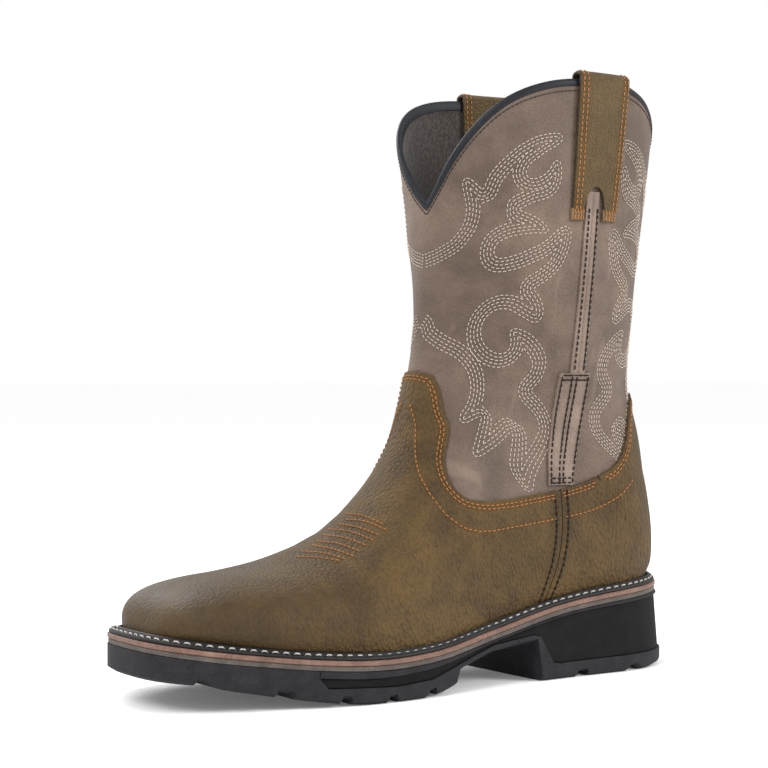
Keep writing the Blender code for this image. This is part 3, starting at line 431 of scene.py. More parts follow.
@dataclass(frozen=True)
class Last:
    """The form of the boot: sections over a feather edge, as on its last."""

    length: float = 0.298
    ball: float = 0.1075
    instep: float = 0.120
    heel: float = 0.0473
    heel_x: float = -0.14875
    heel_round: float = 0.040
    toe_round: float = 0.028
    heel_power: float = 2.1
    toe_power: float = 2.7
    foot_power: float = 2.2
    toe_fall: float = 0.042
    toe_fall_power: float = 2.2
    toe_settle: float = 0.1

    @property
    def toe_x(self) -> float:
        """The tip of the feather edge."""
        return self.heel_x + self.length

    def feather_height(self, x: Array) -> Array:
        """Height of the feather edge at x, carried straight on past its ends."""
        station, _, _, rise = table(FEATHER)
        stations = self.heel_x + station / 100 * self.length
        heights = rise / 100 * self.heel
        slopes = np.gradient(heights, stations)
        past = slopes[-1] * np.maximum(x - stations[-1], 0)
        before = slopes[0] * np.minimum(x - stations[0], 0)
        return curve(stations, heights, x) + past + before

    def feather_width(self, x: Array, side: Side) -> Array:
        """Half width of the feather edge at x, before its ends are rounded."""
        station, lateral, medial, _ = table(FEATHER)
        share = lateral if side is Side.LATERAL else medial
        return curve(self.heel_x + station / 100 * self.length, share / 100 * self.ball, x)

    def closure(self, x: Array, grow_heel: float, grow_toe: float, heel: bool = True) -> Array:
        """How far the plan narrows at its rounded ends: 1 in the middle, 0 at the tips."""
        toe_round = self.toe_round + grow_toe
        front = np.clip((x - self.toe_x - grow_toe + toe_round) / toe_round, 0, 1)
        closed = (1 - front**self.toe_power) ** (1 / self.toe_power)
        if heel:
            heel_round = self.heel_round + grow_heel
            back = np.clip((self.heel_x - grow_heel + heel_round - x) / heel_round, 0, 1)
            closed = closed * (1 - back**self.heel_power) ** (1 / self.heel_power)
        return closed

    @cache
    def stations(self, column: str) -> Array:
        """One size of every section, in metres or as a share."""
        rows = table(SECTIONS)
        names = ("back_x", "back_z", "top_x", "top_z", "lateral", "medial", "widest", "crown")
        values = rows[names.index(column)]
        if column in ("back_x", "top_x"):
            return self.heel_x + values / 100 * self.length
        if column == "top_z":
            return values / 100 * self.instep
        if column == "back_z":
            back_x = self.heel_x + rows[0] / 100 * self.length
            foot = np.arange(len(values)) <= HEEL_ROW
            return np.where(foot, self.feather_height(back_x), values / 100 * self.instep)
        return values / 100 * self.ball if column in ("lateral", "medial") else values

    def section(self, column: str, at: Array) -> Array:
        """One size of the sections at a place between them."""
        values = self.stations(column)
        return curve(np.arange(len(values), dtype=float), values, at)

    def ridge(self, at: Array) -> tuple[Array, Array]:
        """The line of top points, in x and z, falling round at the toe."""
        top_x = self.section("top_x", at)
        foot = self.feather_height(self.section("back_x", at))
        foot = np.where(at <= HEEL_ROW, foot, self.section("back_z", at))
        fall = np.clip((top_x - self.toe_x + self.toe_fall) / self.toe_fall, 0, 1)
        share = (1 - fall**self.toe_fall_power) ** (1 / self.toe_fall_power)
        return top_x, foot + (self.section("top_z", at) - foot) * share

    def section_line(self, at: Array, grow: float) -> tuple[Array, Array, Array, Array]:
        """Back point and top point of a section, on the form moved out by grow."""
        top_x, top_z = self.ridge(at)
        ahead_x, ahead_z = self.ridge(np.minimum(at + 0.01, len(SECTIONS) - 1.0))
        behind_x, behind_z = self.ridge(np.maximum(at - 0.01, 0))
        run_x = ahead_x - behind_x
        run_z = ahead_z - behind_z
        reach = np.hypot(run_x, run_z)
        settle = np.clip(at / self.toe_settle, 0, 1)
        top_x = top_x + grow * (1 + (run_z / reach - 1) * settle)
        top_z = top_z - grow * run_x / reach * settle
        middle = (self.heel_x + self.toe_x) / 2
        back_x = self.section("back_x", at)
        stretched = middle + (back_x - middle) * (1 + grow / (self.toe_x - middle))
        foot = at <= HEEL_ROW
        top_z = top_z + (self.feather_height(stretched) - self.feather_height(back_x)) * (1 - settle)
        back_x = np.where(foot, stretched, back_x - grow)
        back_z = np.where(foot, self.feather_height(back_x), self.section("back_z", at))
        return back_x, back_z, top_x, top_z

    def half_widths(self, at: Array, side: Side, grow: float) -> tuple[Array, Array]:
        """Full half width of a section, and its half width at the feather edge."""
        back_x = self.section_line(at, grow)[0]
        name = side.name.lower()
        full = (self.section(name, at) + grow) * self.closure(back_x, grow, grow, heel=False)
        edge = (self.feather_width(back_x, side) + grow) * self.closure(back_x, grow, grow)
        edge = np.where(at <= HEEL_ROW, edge, 0.0)
        return np.maximum(full, edge * 1.02 + 1e-9), edge

    def surface(self, around: Array, at: Array, grow: float) -> Array:
        """The form's surface, moved out by grow.

        A section is a superellipse over its widest line and a rounder one
        under it, which ends at the feather edge or at the back seam.

        Args:
            around: -1 at the lateral feather edge, 0 on top, 1 at the medial one.
            at: Place among the sections, 0 at the toe.
            grow: Distance outside the form.

        Returns:
            Points, in the shape of around and at.
        """
        around, at = np.broadcast_arrays(np.asarray(around, float), np.asarray(at, float))
        back_x, back_z, top_x, top_z = self.section_line(at, grow)
        wide_l, edge_l = self.half_widths(at, Side.LATERAL, grow)
        wide_m, edge_m = self.half_widths(at, Side.MEDIAL, grow)
        lateral = around < 0
        full = np.where(lateral, wide_l, wide_m)
        edge = np.where(lateral, edge_l, edge_m)
        widest = self.section("widest", at)
        crown = self.section("crown", at)
        low = np.arccos(np.clip(edge / full, 0, 1) ** (self.foot_power / 2))
        angle = np.pi / 2 - np.abs(around) * (np.pi / 2 + low)
        cosine = np.clip(np.cos(angle), 0, 1)
        sine = np.abs(np.sin(angle))
        over = angle >= 0
        power = np.where(over, crown, self.foot_power)
        rise = widest + (1 - widest) * sine ** (2 / crown)
        dip = widest * (1 - (sine / np.maximum(np.sin(low), 1e-9)) ** (2 / self.foot_power))
        share = np.where(over, rise, np.maximum(dip, 0.0))
        half = full * cosine ** (2 / power)
        at_end = (np.abs(around) >= 1) | (np.abs(around) < 1e-9)
        half = np.where(at_end, edge * (np.abs(around) >= 1), half)
        x = back_x + (top_x - back_x) * share
        z = back_z + (top_z - back_z) * share
        return np.stack([x, np.where(lateral, half, -half), z], axis=-1)

    def place(self, x: Array, z: Array, side: Side, grow: float) -> tuple[Array, Array, Array]:
        """Where the point of the form at x and z, seen from its side, lies.

        Returns:
            The distance round from the top line (0 to 1), the place among the
            sections, and the half width there.
        """
        low = np.full(np.shape(x), 3.0)
        high = np.full(np.shape(x), len(SECTIONS) - 1.0)
        for _ in range(27):
            middle = (low + high) / 2
            back_x, back_z, top_x, top_z = self.section_line(middle, grow)
            over = (x - back_x) * (top_z - back_z) - (z - back_z) * (top_x - back_x) < 0
            low = np.where(over, middle, low)
            high = np.where(over, high, middle)
        at = (low + high) / 2
        back_x, back_z, top_x, top_z = self.section_line(at, grow)
        run_x = top_x - back_x
        run_z = top_z - back_z
        share = ((x - back_x) * run_x + (z - back_z) * run_z) / (run_x**2 + run_z**2)
        full, edge = self.half_widths(at, side, grow)
        widest = self.section("widest", at)
        crown = self.section("crown", at)
        below = np.arccos(np.clip(edge / full, 0, 1) ** (self.foot_power / 2))
        rise = np.clip((share - widest) / (1 - widest), 0, 1)
        dip = np.clip(1 - share / widest, 0, 1)
        under_sine = dip ** (self.foot_power / 2) * np.sin(below)
        angle = np.where(share >= widest, np.arcsin(rise ** (crown / 2)), -np.arcsin(under_sine))
        power = np.where(share >= widest, crown, self.foot_power)
        half = full * np.clip(np.cos(angle), 0, 1) ** (2 / power)
        return (np.pi / 2 - angle) / (np.pi / 2 + below), at, half

    def side_point(self, x: Array, z: Array, side: Side, grow: float) -> Array:
        """The point of the grown form that is at x and z, seen from its side."""
        half = self.place(x, z, side, grow)[2]
        return np.stack([x, side.value * half, z], axis=-1)

    def at_height(self, around: Array, height: Array, grow: float, start: float = 3.0) -> Array:
        """Where, from a starting section up, each column reaches a height."""
        around, height = np.broadcast_arrays(np.asarray(around, float), np.asarray(height, float))
        low = np.full(around.shape, start)
        high = np.full(around.shape, len(SECTIONS) - 1.0)
        for _ in range(27):
            middle = (low + high) / 2
            under = self.surface(around, middle, grow)[..., 2] < height
            low = np.where(under, middle, low)
            high = np.where(under, high, middle)
        return (low + high) / 2


LAST = Last()


def outward(points: Array) -> Array:
    """Normals of a grid of points on the form, turned away from its middle."""
    normal = unit(np.cross(np.gradient(points, axis=0), np.gradient(points, axis=1)))
    middle = points.mean(axis=1, keepdims=True)
    sign = np.sign(np.sum(normal * (points - middle), axis=-1, keepdims=True))
    return normal * np.where(sign == 0, 1, sign)


@dataclass
class Relief:
    """The worn leather's soft troughs and ridges, as a height over the form."""

    rows: dict[str, tuple] = field(default_factory=lambda: CREASES)

    def __post_init__(self) -> None:
        """Works out each crease's line on the form."""
        self.lines: list[tuple[Array, float, float]] = []
        for width, depth, places in self.rows.values():
            pairs = smooth_line(np.array(places, float), 0.12)
            line = LAST.surface(pairs[:, 0], pairs[:, 1], 0.0)
            self.lines.append((even_line(line, 0.004), width, depth))

    def height(self, points: Array) -> Array:
        """Height over the form at points: each crease is a bell across its line
        that fades out towards its two ends."""
        flat = points.reshape(-1, 3)
        total = np.zeros(len(flat))
        for line, width, depth in self.lines:
            near = np.linalg.norm(flat - line.mean(axis=0), axis=1) < 0.12
            apart = np.linalg.norm(flat[near, None, :] - line[None, :, :], axis=2)
            closest = apart.argmin(axis=1)
            distance = apart[np.arange(len(closest)), closest]
            share = closest / (len(line) - 1)
            fade = np.sin(np.pi * np.clip(share * 0.9 + 0.05, 0, 1)) ** 0.8
            total[near] -= depth * np.exp(-((distance / width) ** 2)) * fade
        return total.reshape(points.shape[:-1])


RELIEF = Relief()


def worn(points: Array) -> Array:
    """A grid of the form's points with the creases pressed into it."""
    return points + outward(points) * RELIEF.height(points)[..., None]


def grid_faces(rows: int, columns: int, around: bool = False, start: int = 0,
               closed: bool = False) -> Array:
    """Squares of a grid of points.

    Args:
        rows: How many rows of points it has.
        columns: How many points are in a row.
        around: Whether each row's last point joins its first.
        start: The number of the grid's first point.
        closed: Whether the last row joins the first.

    Returns:
        The squares, as rows of four point numbers.
    """
    index = np.arange(rows * columns).reshape(rows, columns) + start
    if closed:
        index = np.vstack([index, index[:1]])
    ahead = np.roll(index, -1, axis=1)
    if not around:
        index, ahead = index[:, :-1], ahead[:, :-1]
    corners = (index[:-1], ahead[:-1], ahead[1:], index[1:])
    return np.stack([corner.ravel() for corner in corners], axis=1)


def wall_faces(line: Array, ahead: Array, under: int) -> Array:
    """Squares from the points of a line to those that are under places further on."""
    return np.stack([line, ahead, ahead + under, line + under], axis=1)


def plate_faces(rows: int, columns: int) -> Array:
    """Squares of a plate of two equal grids: its face, its back and the wall round them."""
    under = rows * columns
    index = np.arange(under).reshape(rows, columns)
    rim = np.concatenate([index[0], index[1:, -1], index[-1, -2::-1], index[-2:0:-1, 0]])
    return np.concatenate([grid_faces(rows, columns), grid_faces(rows, columns, start=under)[:, ::-1],
                           wall_faces(np.roll(rim, -1), rim, under)])


def build(name: str, points: Array, faces: Iterable[Iterable[int]], materials: list,
          slots: Array | None = None, edge: Array | None = None, sharp: float = 0.9,
          merge: float = 1e-6, body: str = "root") -> bpy.types.Object:
    """Makes a piece from points and faces and lets it ride on the boot.

    Doubled points are merged, and the faces are turned outwards.

    Args:
        name: The piece's name.
        points: Its points.
        faces: Its faces, as rows of point numbers.
        materials: Its materials.
        slots: For each face, which material it takes.
        edge: For each point, 1 where the leather's cut edge shows.
        sharp: Angle in radians past which an edge is drawn sharp.
        merge: Distance under which points are one.
        body: The body that it rides on.

    Returns:
        The piece.
    """
    mesh = bpy.data.meshes.new(name)
    mesh.from_pydata(points.reshape(-1, 3).tolist(), [], [list(map(int, face)) for face in faces])
    if slots is not None:
        mesh.polygons.foreach_set("material_index", slots.astype(np.int32))
    if edge is not None:
        layer = mesh.attributes.new("edge", "FLOAT", "POINT")
        layer.data.foreach_set("value", edge.ravel().astype(np.float32))
    work = bmesh.new()
    work.from_mesh(mesh)
    bmesh.ops.remove_doubles(work, verts=work.verts, dist=merge)
    bmesh.ops.dissolve_degenerate(work, edges=work.edges, dist=merge)
    bmesh.ops.recalc_face_normals(work, faces=work.faces)
    work.to_mesh(mesh)
    work.free()
    mesh.shade_smooth()
    mesh.set_sharp_from_angle(angle=sharp)
    for material in materials:
        mesh.materials.append(material)
    piece = bpy.data.objects.new(name, mesh)
    bpy.context.scene.collection.objects.link(piece)
    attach(piece, body)
    log.info("%s: %d points, %d faces", name, len(mesh.vertices), len(mesh.polygons))
    return piece


@dataclass(frozen=True)
class Camera:
    """The photograph's viewpoint, and where it sees a point."""

    x: float = 0.56265
    y: float = 0.8370
    z: float = 0.1562
    heading: float = math.radians(33.26)
    tilt: float = math.radians(0.27)
    focal: float = 1968.5

    def axes(self) -> tuple[Array, Array, Array]:
        """Right, up and forward."""
        right = np.array([-math.cos(self.heading), math.sin(self.heading), 0.0])
        level = np.array([-math.sin(self.heading), -math.cos(self.heading), 0.0])
        rise = np.array([0.0, 0.0, 1.0])
        forward = level * math.cos(self.tilt) - rise * math.sin(self.tilt)
        return right, level * math.sin(self.tilt) + rise * math.cos(self.tilt), forward

    def project(self, points: Array) -> Array:
        """Pixels of points on the 768-pixel view."""
        right, up, forward = self.axes()
        away = points - np.array([self.x, self.y, self.z])
        depth = away @ forward
        across = VIEW_SIDE / 2 + self.focal * (away @ right) / depth
        down = VIEW_SIDE / 2 - self.focal * (away @ up) / depth
        return np.stack([across, down], axis=-1)

    def rays(self, pixels: Array) -> Array:
        """Directions from the camera through pixels."""
        right, up, forward = self.axes()
        across = (pixels[:, :1] - VIEW_SIDE / 2) / self.focal
        down = (pixels[:, 1:] - VIEW_SIDE / 2) / self.focal
        return unit(forward + across * right - down * up)

    def make(self) -> None:
        """Puts the camera in the scene and makes it the active one."""
        right, up, forward = self.axes()
        data = bpy.data.cameras.new("photo_camera")
        data.sensor_fit = "HORIZONTAL"
        data.sensor_width = 36.0
        data.lens = 36.0 * self.focal / VIEW_SIDE
        data.clip_start = 0.01
        thing = bpy.data.objects.new("photo_camera", data)
        frame_axes = np.stack([right, up, -forward], axis=1)
        matrix = Matrix([list(map(float, row)) for row in frame_axes]).to_4x4()
        matrix.translation = (self.x, self.y, self.z)
        thing.matrix_world = matrix
        bpy.context.scene.collection.objects.link(thing)
        bpy.context.scene.camera = thing


CAMERA = Camera()


@dataclass
class Skin:
    """A fine grid of leather that stitches and seams are laid on."""

    points: Array
    normals: Array

    def __post_init__(self) -> None:
        """Sorts the points, so that the nearest one is found quickly."""
        self.tree = KDTree(len(self.points))
        for index, point in enumerate(self.points.tolist()):
            self.tree.insert(point, index)
        self.tree.balance()

    @classmethod
    def of_grid(cls, points: Array) -> "Skin":
        """The skin of a grid of points."""
        return cls(points.reshape(-1, 3), outward(points).reshape(-1, 3))

    def settle(self, points: Array, lift: float = 0.0) -> tuple[Array, Array]:
        """Moves points onto the skin, along the normal of its nearest point.

        Args:
            points: The points.
            lift: How far over the skin they end.

        Returns:
            The moved points and the skin's normals there.
        """
        nearest = np.array([self.tree.find(point)[1] for point in points.tolist()])
        normal = self.normals[nearest]
        off = np.sum((points - self.points[nearest]) * normal, axis=1, keepdims=True)
        return points - normal * (off - lift), normal

    def seen(self, pixels: Array) -> tuple[Array, Array]:
        """The skin's points behind pixels of the view, and their normals."""
        centre = np.array([CAMERA.x, CAMERA.y, CAMERA.z])
        facing = np.sum(self.normals * (self.points - centre), axis=1) < 0
        points, normals = self.points[facing], self.normals[facing]
        shown = CAMERA.project(points)
        nearest = ((pixels[:, None, :] - shown[None, :, :]) ** 2).sum(axis=2).argmin(axis=1)
        normal = normals[nearest]
        rays = CAMERA.rays(pixels)
        reach = np.sum((points[nearest] - centre) * normal, axis=1) / np.sum(rays * normal, axis=1)
        return centre + rays * reach[:, None], normal


@dataclass(frozen=True)
class Thread:
    """A sewing thread: its radius, how far a stitch reaches, and its colour."""

    name: str
    colour: tuple[float, float, float]
    radius: float = 0.00036
    pitch: float = 0.0028
    rest: float = 0.0006
    arch: float = 0.00028

    def material(self) -> bpy.types.Material:
        """Twisted waxed thread: a soft colour change and a fine twist."""
        graph = Graph(self.name)
        tone = graph.noise(900.0, 2.0)
        dark = tuple(channel * 0.62 for channel in self.colour)
        light = tuple(min(1.0, channel * 1.18) for channel in self.colour)
        twist = graph.noise(5200.0, 1.0)
        graph.colour(graph.mix(tone, dark, light))
        graph.shine(0.55 + tone * 0.2)
        graph.relief(twist, 0.5, 0.00010)
        return graph.finish(specular=0.2)


class Value:
    """A socket of a shader graph, for shader maths written as an expression."""

    def __init__(self, graph: "Graph", socket: bpy.types.NodeSocket) -> None:
        """Keeps the graph and the socket."""
        self.graph = graph
        self.socket = socket

    def _math(self, operation: str, *sides: "Value | float") -> "Value":
        """A Math node over the sides, in their order."""
        inputs = dict(enumerate(sides))
        node = self.graph.node("ShaderNodeMath", {"operation": operation}, inputs)
        return Value(self.graph, node.outputs[0])

    def __add__(self, other: "Value | float") -> "Value":
        """Sum."""
        return self._math("ADD", self, other)

    __radd__ = __add__

    def __sub__(self, other: "Value | float") -> "Value":
        """Difference."""
        return self._math("SUBTRACT", self, other)

    def __rsub__(self, other: float) -> "Value":
        """Difference from a number."""
        return self._math("SUBTRACT", other, self)

    def __mul__(self, other: "Value | float") -> "Value":
        """Product."""
        return self._math("MULTIPLY", self, other)

    __rmul__ = __mul__

    def __pow__(self, other: float) -> "Value":
        """Power."""
        return self._math("POWER", self, other)

    def over(self, start: float, end: float) -> "Value":
        """A smooth step from 0 at start to 1 at end."""
        settings = {"interpolation_type": "SMOOTHSTEP"}
        node = self.graph.node("ShaderNodeMapRange", settings, {"Value": self, 1: start, 2: end})
        return Value(self.graph, node.outputs[0])


class Graph:
    """A material's node graph, built with a few named steps."""

    def __init__(self, name: str) -> None:
        """Starts a material with its own shader."""
        self.material = bpy.data.materials.new(name)
        self.material.use_nodes = True
        self.tree = self.material.node_tree
        self.shader = self.tree.nodes["Principled BSDF"]
        self.place = self.node("ShaderNodeTexCoord").outputs["Object"]
        self.bumped: bpy.types.NodeSocket | None = None

    def node(self, kind: str, settings: dict | None = None, inputs: dict | None = None) -> bpy.types.Node:
        """Adds a node: its type, its settings, then the values or links of its sockets."""
        node = self.tree.nodes.new(kind)
        for name, value in (settings or {}).items():
            setattr(node, name, value)
        for key, value in (inputs or {}).items():
            self.feed(node.inputs[key], value)
        return node

    def feed(self, socket: bpy.types.NodeSocket, value: object) -> None:
        """Links a socket to another one, or sets its value."""
        if isinstance(value, Value):
            self.tree.links.new(value.socket, socket)
        elif isinstance(value, bpy.types.NodeSocket):
            self.tree.links.new(value, socket)
        elif isinstance(value, tuple) and len(value) == 3 and socket.type == "RGBA":
            socket.default_value = (*value, 1.0)
        else:
            socket.default_value = value

    def stretched(self, scale: tuple[float, float, float],
                  turn: Row = (0.0, 0.0, 0.0)) -> bpy.types.NodeSocket:
        """The object's coordinates, scaled and turned."""
        inputs = {"Vector": self.place, "Scale": scale, "Rotation": turn}
        return self.node("ShaderNodeMapping", None, inputs).outputs["Vector"]

    def noise(self, scale: float, detail: float, vector: bpy.types.NodeSocket | None = None,
              rough: float = 0.55, warp: float = 0.0) -> Value:
        """Soft noise of a size, in cells to the metre."""
        inputs = {"Vector": vector or self.place, "Scale": scale, "Detail": detail,
                  "Roughness": rough, "Distortion": warp}
        return Value(self, self.node("ShaderNodeTexNoise", None, inputs).outputs["Fac"])

    def cells(self, scale: float, vector: bpy.types.NodeSocket | None = None,
              feature: str = "F1") -> Value:
        """Distance inside cells of a size, in cells to the metre."""
        inputs = {"Vector": vector or self.place, "Scale": scale}
        node = self.node("ShaderNodeTexVoronoi", {"feature": feature}, inputs)
        return Value(self, node.outputs["Distance"])

    def along(self, axis: str) -> Value:
        """Place along one of the object's axes, in metres."""
        node = self.node("ShaderNodeSeparateXYZ", None, {"Vector": self.place})
        return Value(self, node.outputs[axis])

    def attribute(self, name: str) -> Value:
        """A value kept at the piece's points."""
        node = self.node("ShaderNodeAttribute", {"attribute_name": name})
        return Value(self, node.outputs["Fac"])

    def mix(self, factor: "Value | float", first: object, second: object) -> bpy.types.NodeSocket:
        """A colour between two colours."""
        inputs = {0: factor, 6: first, 7: second}
        return self.node("ShaderNodeMix", {"data_type": "RGBA"}, inputs).outputs[2]

    def colour(self, colour: object) -> None:
        """Sets or links the base colour."""
        self.feed(self.shader.inputs["Base Color"], colour)

    def shine(self, roughness: object) -> None:
        """Sets or links the roughness."""
        self.feed(self.shader.inputs["Roughness"], roughness)

    def relief(self, height: Value, strength: float, distance: float) -> None:
        """Adds a bump over the bumps before it."""
        inputs = {"Height": height, "Strength": strength, "Distance": distance}
        if self.bumped is not None:
            inputs["Normal"] = self.bumped
        self.bumped = self.node("ShaderNodeBump", None, inputs).outputs["Normal"]

    def finish(self, sheen: float = 0.0, specular: float = 0.5, coat: float = 0.0,
               coat_roughness: float = 0.3, tint: Row = (1.0, 1.0, 1.0)) -> bpy.types.Material:
        """Links the bumps, sets what is the same all over and gives the material."""
        if self.bumped is not None:
            self.feed(self.shader.inputs["Normal"], self.bumped)
        self.shader.inputs["Sheen Weight"].default_value = sheen
        self.shader.inputs["Sheen Roughness"].default_value = 0.5
        self.shader.inputs["Sheen Tint"].default_value = (*tint, 1.0)
        self.shader.inputs["Specular IOR Level"].default_value = specular
        self.shader.inputs["Coat Weight"].default_value = coat
        self.shader.inputs["Coat Roughness"].default_value = coat_roughness
        return self.material


@dataclass(frozen=True)
class Nubuck:
    """Oiled brown leather: cloudy browns, fine nap, pebbled grain and scuffs."""

    name: str = "brown_leather"
    dark: tuple[float, float, float] = (0.019, 0.0092, 0.0020)
    middle: tuple[float, float, float] = (0.057, 0.031, 0.0070)
    light: tuple[float, float, float] = (0.112, 0.065, 0.0165)
    cut: tuple[float, float, float] = (0.050, 0.030, 0.014)
    grain: float = 560.0
    marked_edge: bool = True
    # How strongly the toe is darkened with painted shade, and glossed and smoothed as if burnished
    burnish_and_toe_shade: float = 0.5

    def material(self) -> bpy.types.Material:
        """Browns mixed by clouds of three sizes, darker pores, a dark cut edge and painted shade towards the
        toe.
        """
        graph = Graph(self.name)
        cloud = graph.noise(22.0, 4.0, warp=0.6)
        patch = graph.noise(75.0, 5.0, rough=0.65)
        nap = graph.noise(1500.0, 2.0, rough=0.7)
        pebble = graph.cells(self.grain, graph.stretched((1.15, 1.15, 0.72)))
        smudge = graph.noise(9.0, 3.0, warp=1.2).over(0.52, 0.74)
        body = graph.mix((cloud * 0.6 + patch * 0.4).over(0.36, 0.66), self.dark, self.light)
        body = graph.mix(0.42, body, self.middle)
        body = graph.mix(nap.over(0.30, 0.75) * 0.30, body, self.light)
        body = graph.mix(pebble.over(0.42, 0.85) * 0.30, body, self.dark)
        body = graph.mix(smudge * 0.35, body, self.dark)
        # Towards the toe the colour darkens as painted shade, while the same mask makes the toe glossier and
        # its grain flatter, as if burnished
        toe_burnish_and_shade = (graph.along("X") + cloud * 0.03).over(0.055, 0.150)
        body = graph.mix(toe_burnish_and_shade * self.burnish_and_toe_shade, body, self.dark)
        if self.marked_edge:
            body = graph.mix(graph.attribute("edge").over(0.2, 0.9) * 0.75, body, self.cut)
        graph.colour(body)
        graph.shine(0.56 + patch * 0.24 - toe_burnish_and_shade * (self.burnish_and_toe_shade * 0.16))
        graph.relief((1.0 - pebble) * (1.0 - toe_burnish_and_shade * 0.75), 0.9, 0.0011)
        graph.relief(nap, 0.40, 0.00016)
        graph.relief(patch, 0.35, 0.0012)
        return graph.finish(sheen=0.03, specular=0.27, tint=(1.0, 0.80, 0.55))


@dataclass(frozen=True)
class ShaftLeather:
    """Taupe shaft leather: waxy pull-up, fine grain and a few pale marks."""

    name: str = "taupe_leather"
    dark: tuple[float, float, float] = (0.063, 0.040, 0.028)
    light: tuple[float, float, float] = (0.160, 0.111, 0.083)
    mark: tuple[float, float, float] = (0.215, 0.160, 0.126)

    def material(self) -> bpy.types.Material:
        """Greyish browns by clouds, with a fine crossed grain and hair-thin marks."""
        graph = Graph(self.name)
        cloud = graph.noise(14.0, 4.0, warp=0.8)
        patch = graph.noise(60.0, 5.0, rough=0.62)
        nap = graph.noise(1700.0, 2.0, rough=0.7)
        grain = graph.cells(950.0)
        streak = graph.noise(42.0, 3.0, graph.stretched((1.0, 1.0, 0.25), (0.0, 0.9, 0.4)), warp=1.6)
        body = graph.mix((cloud * 0.65 + patch * 0.35).over(0.34, 0.68), self.dark, self.light)
        body = graph.mix(nap.over(0.3, 0.75) * 0.24, body, self.light)
        body = graph.mix(grain.over(0.45, 0.85) * 0.32, body, self.dark)
        body = graph.mix(streak.over(0.60, 0.70) * 0.30, body, self.mark)
        graph.colour(body)
        graph.shine(0.52 + patch * 0.20)
        graph.relief(1.0 - grain, 0.6, 0.00050)
        graph.relief(nap, 0.20, 0.00010)
        graph.relief(streak, 0.35, 0.0008)
        graph.relief(cloud, 0.45, 0.0030)
        return graph.finish(sheen=0.03, specular=0.34, tint=(1.0, 0.93, 0.86))


@dataclass(frozen=True)
class Lining:
    """Dark woven lining cloth."""

    name: str = "lining_cloth"
    dark: tuple[float, float, float] = (0.016, 0.012, 0.010)
    light: tuple[float, float, float] = (0.062, 0.048, 0.041)

    def material(self) -> bpy.types.Material:
        """A knit of small slanted cells over soft fibre noise."""
        graph = Graph(self.name)
        knit = graph.cells(780.0, graph.stretched((1.0, 1.0, 0.6), (0.3, 0.5, 0.2)))
        fibre = graph.noise(1300.0, 3.0)
        body = graph.mix(knit.over(0.1, 0.7), self.light, self.dark)
        graph.colour(graph.mix(fibre.over(0.35, 0.7) * 0.5, body, self.light))
        graph.shine(0.9)
        graph.relief(knit, 0.6, 0.0003)
        graph.relief(fibre, 0.3, 0.0001)
        return graph.finish(sheen=0.3, specular=0.2)


@dataclass(frozen=True)
class Moulded:
    """Rubber, foam or a layer's trimmed edge: two tones, grain and fine lines."""

    name: str
    dark: tuple[float, float, float]
    light: tuple[float, float, float]
    roughness: float = 0.6
    grain: float = 900.0
    depth: float = 0.00015
    line_scale: float = 0.0
    pores: float = 0.0
    dust: float = 0.15
    specular: float = 0.38

    def material(self) -> bpy.types.Material:
        """A soft mottle with trimming lines along the edge, or open pores."""
        graph = Graph(self.name)
        tone = graph.noise(120.0, 4.0, rough=0.6)
        fine = graph.noise(self.grain, 3.0, rough=0.65)
        body = graph.mix((tone * 0.5 + fine * 0.5).over(0.35, 0.66), self.dark, self.light)
        scuff = graph.noise(46.0, 5.0, graph.stretched((0.5, 0.5, 3.0)), warp=1.0).over(0.58, 0.74)
        body = graph.mix(scuff * self.dust, body, tuple(min(1.0, c * 2.1 + 0.03) for c in self.light))
        if self.pores > 0:
            pore = 1.0 - graph.cells(self.grain * 1.6).over(0.10, 0.34)
            body = graph.mix(pore * self.pores, body, tuple(c * 0.35 for c in self.dark))
            graph.relief(1.0 - pore, 0.5, 0.0002)
        if self.line_scale > 0:
            lines = graph.noise(self.line_scale, 2.0, graph.stretched((0.03, 0.03, 1.0)))
            body = graph.mix(lines.over(0.45, 0.62) * 0.25, body, self.dark)
            graph.relief(lines, 0.35, 0.0002)
        graph.colour(body)
        graph.shine(self.roughness + tone * 0.18 - 0.06)
        graph.relief(fine, 0.35, self.depth)
        return graph.finish(specular=self.specular)


ORANGE = Thread("orange_thread", (0.380, 0.150, 0.036), 0.00030, 0.0029, 0.0005, 0.00022)
CREAM = Thread("cream_thread", (0.520, 0.435, 0.365), 0.00023, 0.0026, 0.0005, 0.00016)
FINE_BLACK = Thread("fine_black_thread", (0.020, 0.016, 0.014), 0.00026, 0.0026, 0.0005, 0.00015)
BLACK = Thread("black_thread", (0.012, 0.008, 0.006), 0.00044, 0.0031, 0.0004)
WELT_THREAD = Thread("welt_thread", (0.430, 0.405, 0.365), 0.00044, 0.0053, 0.0018, 0.0004)


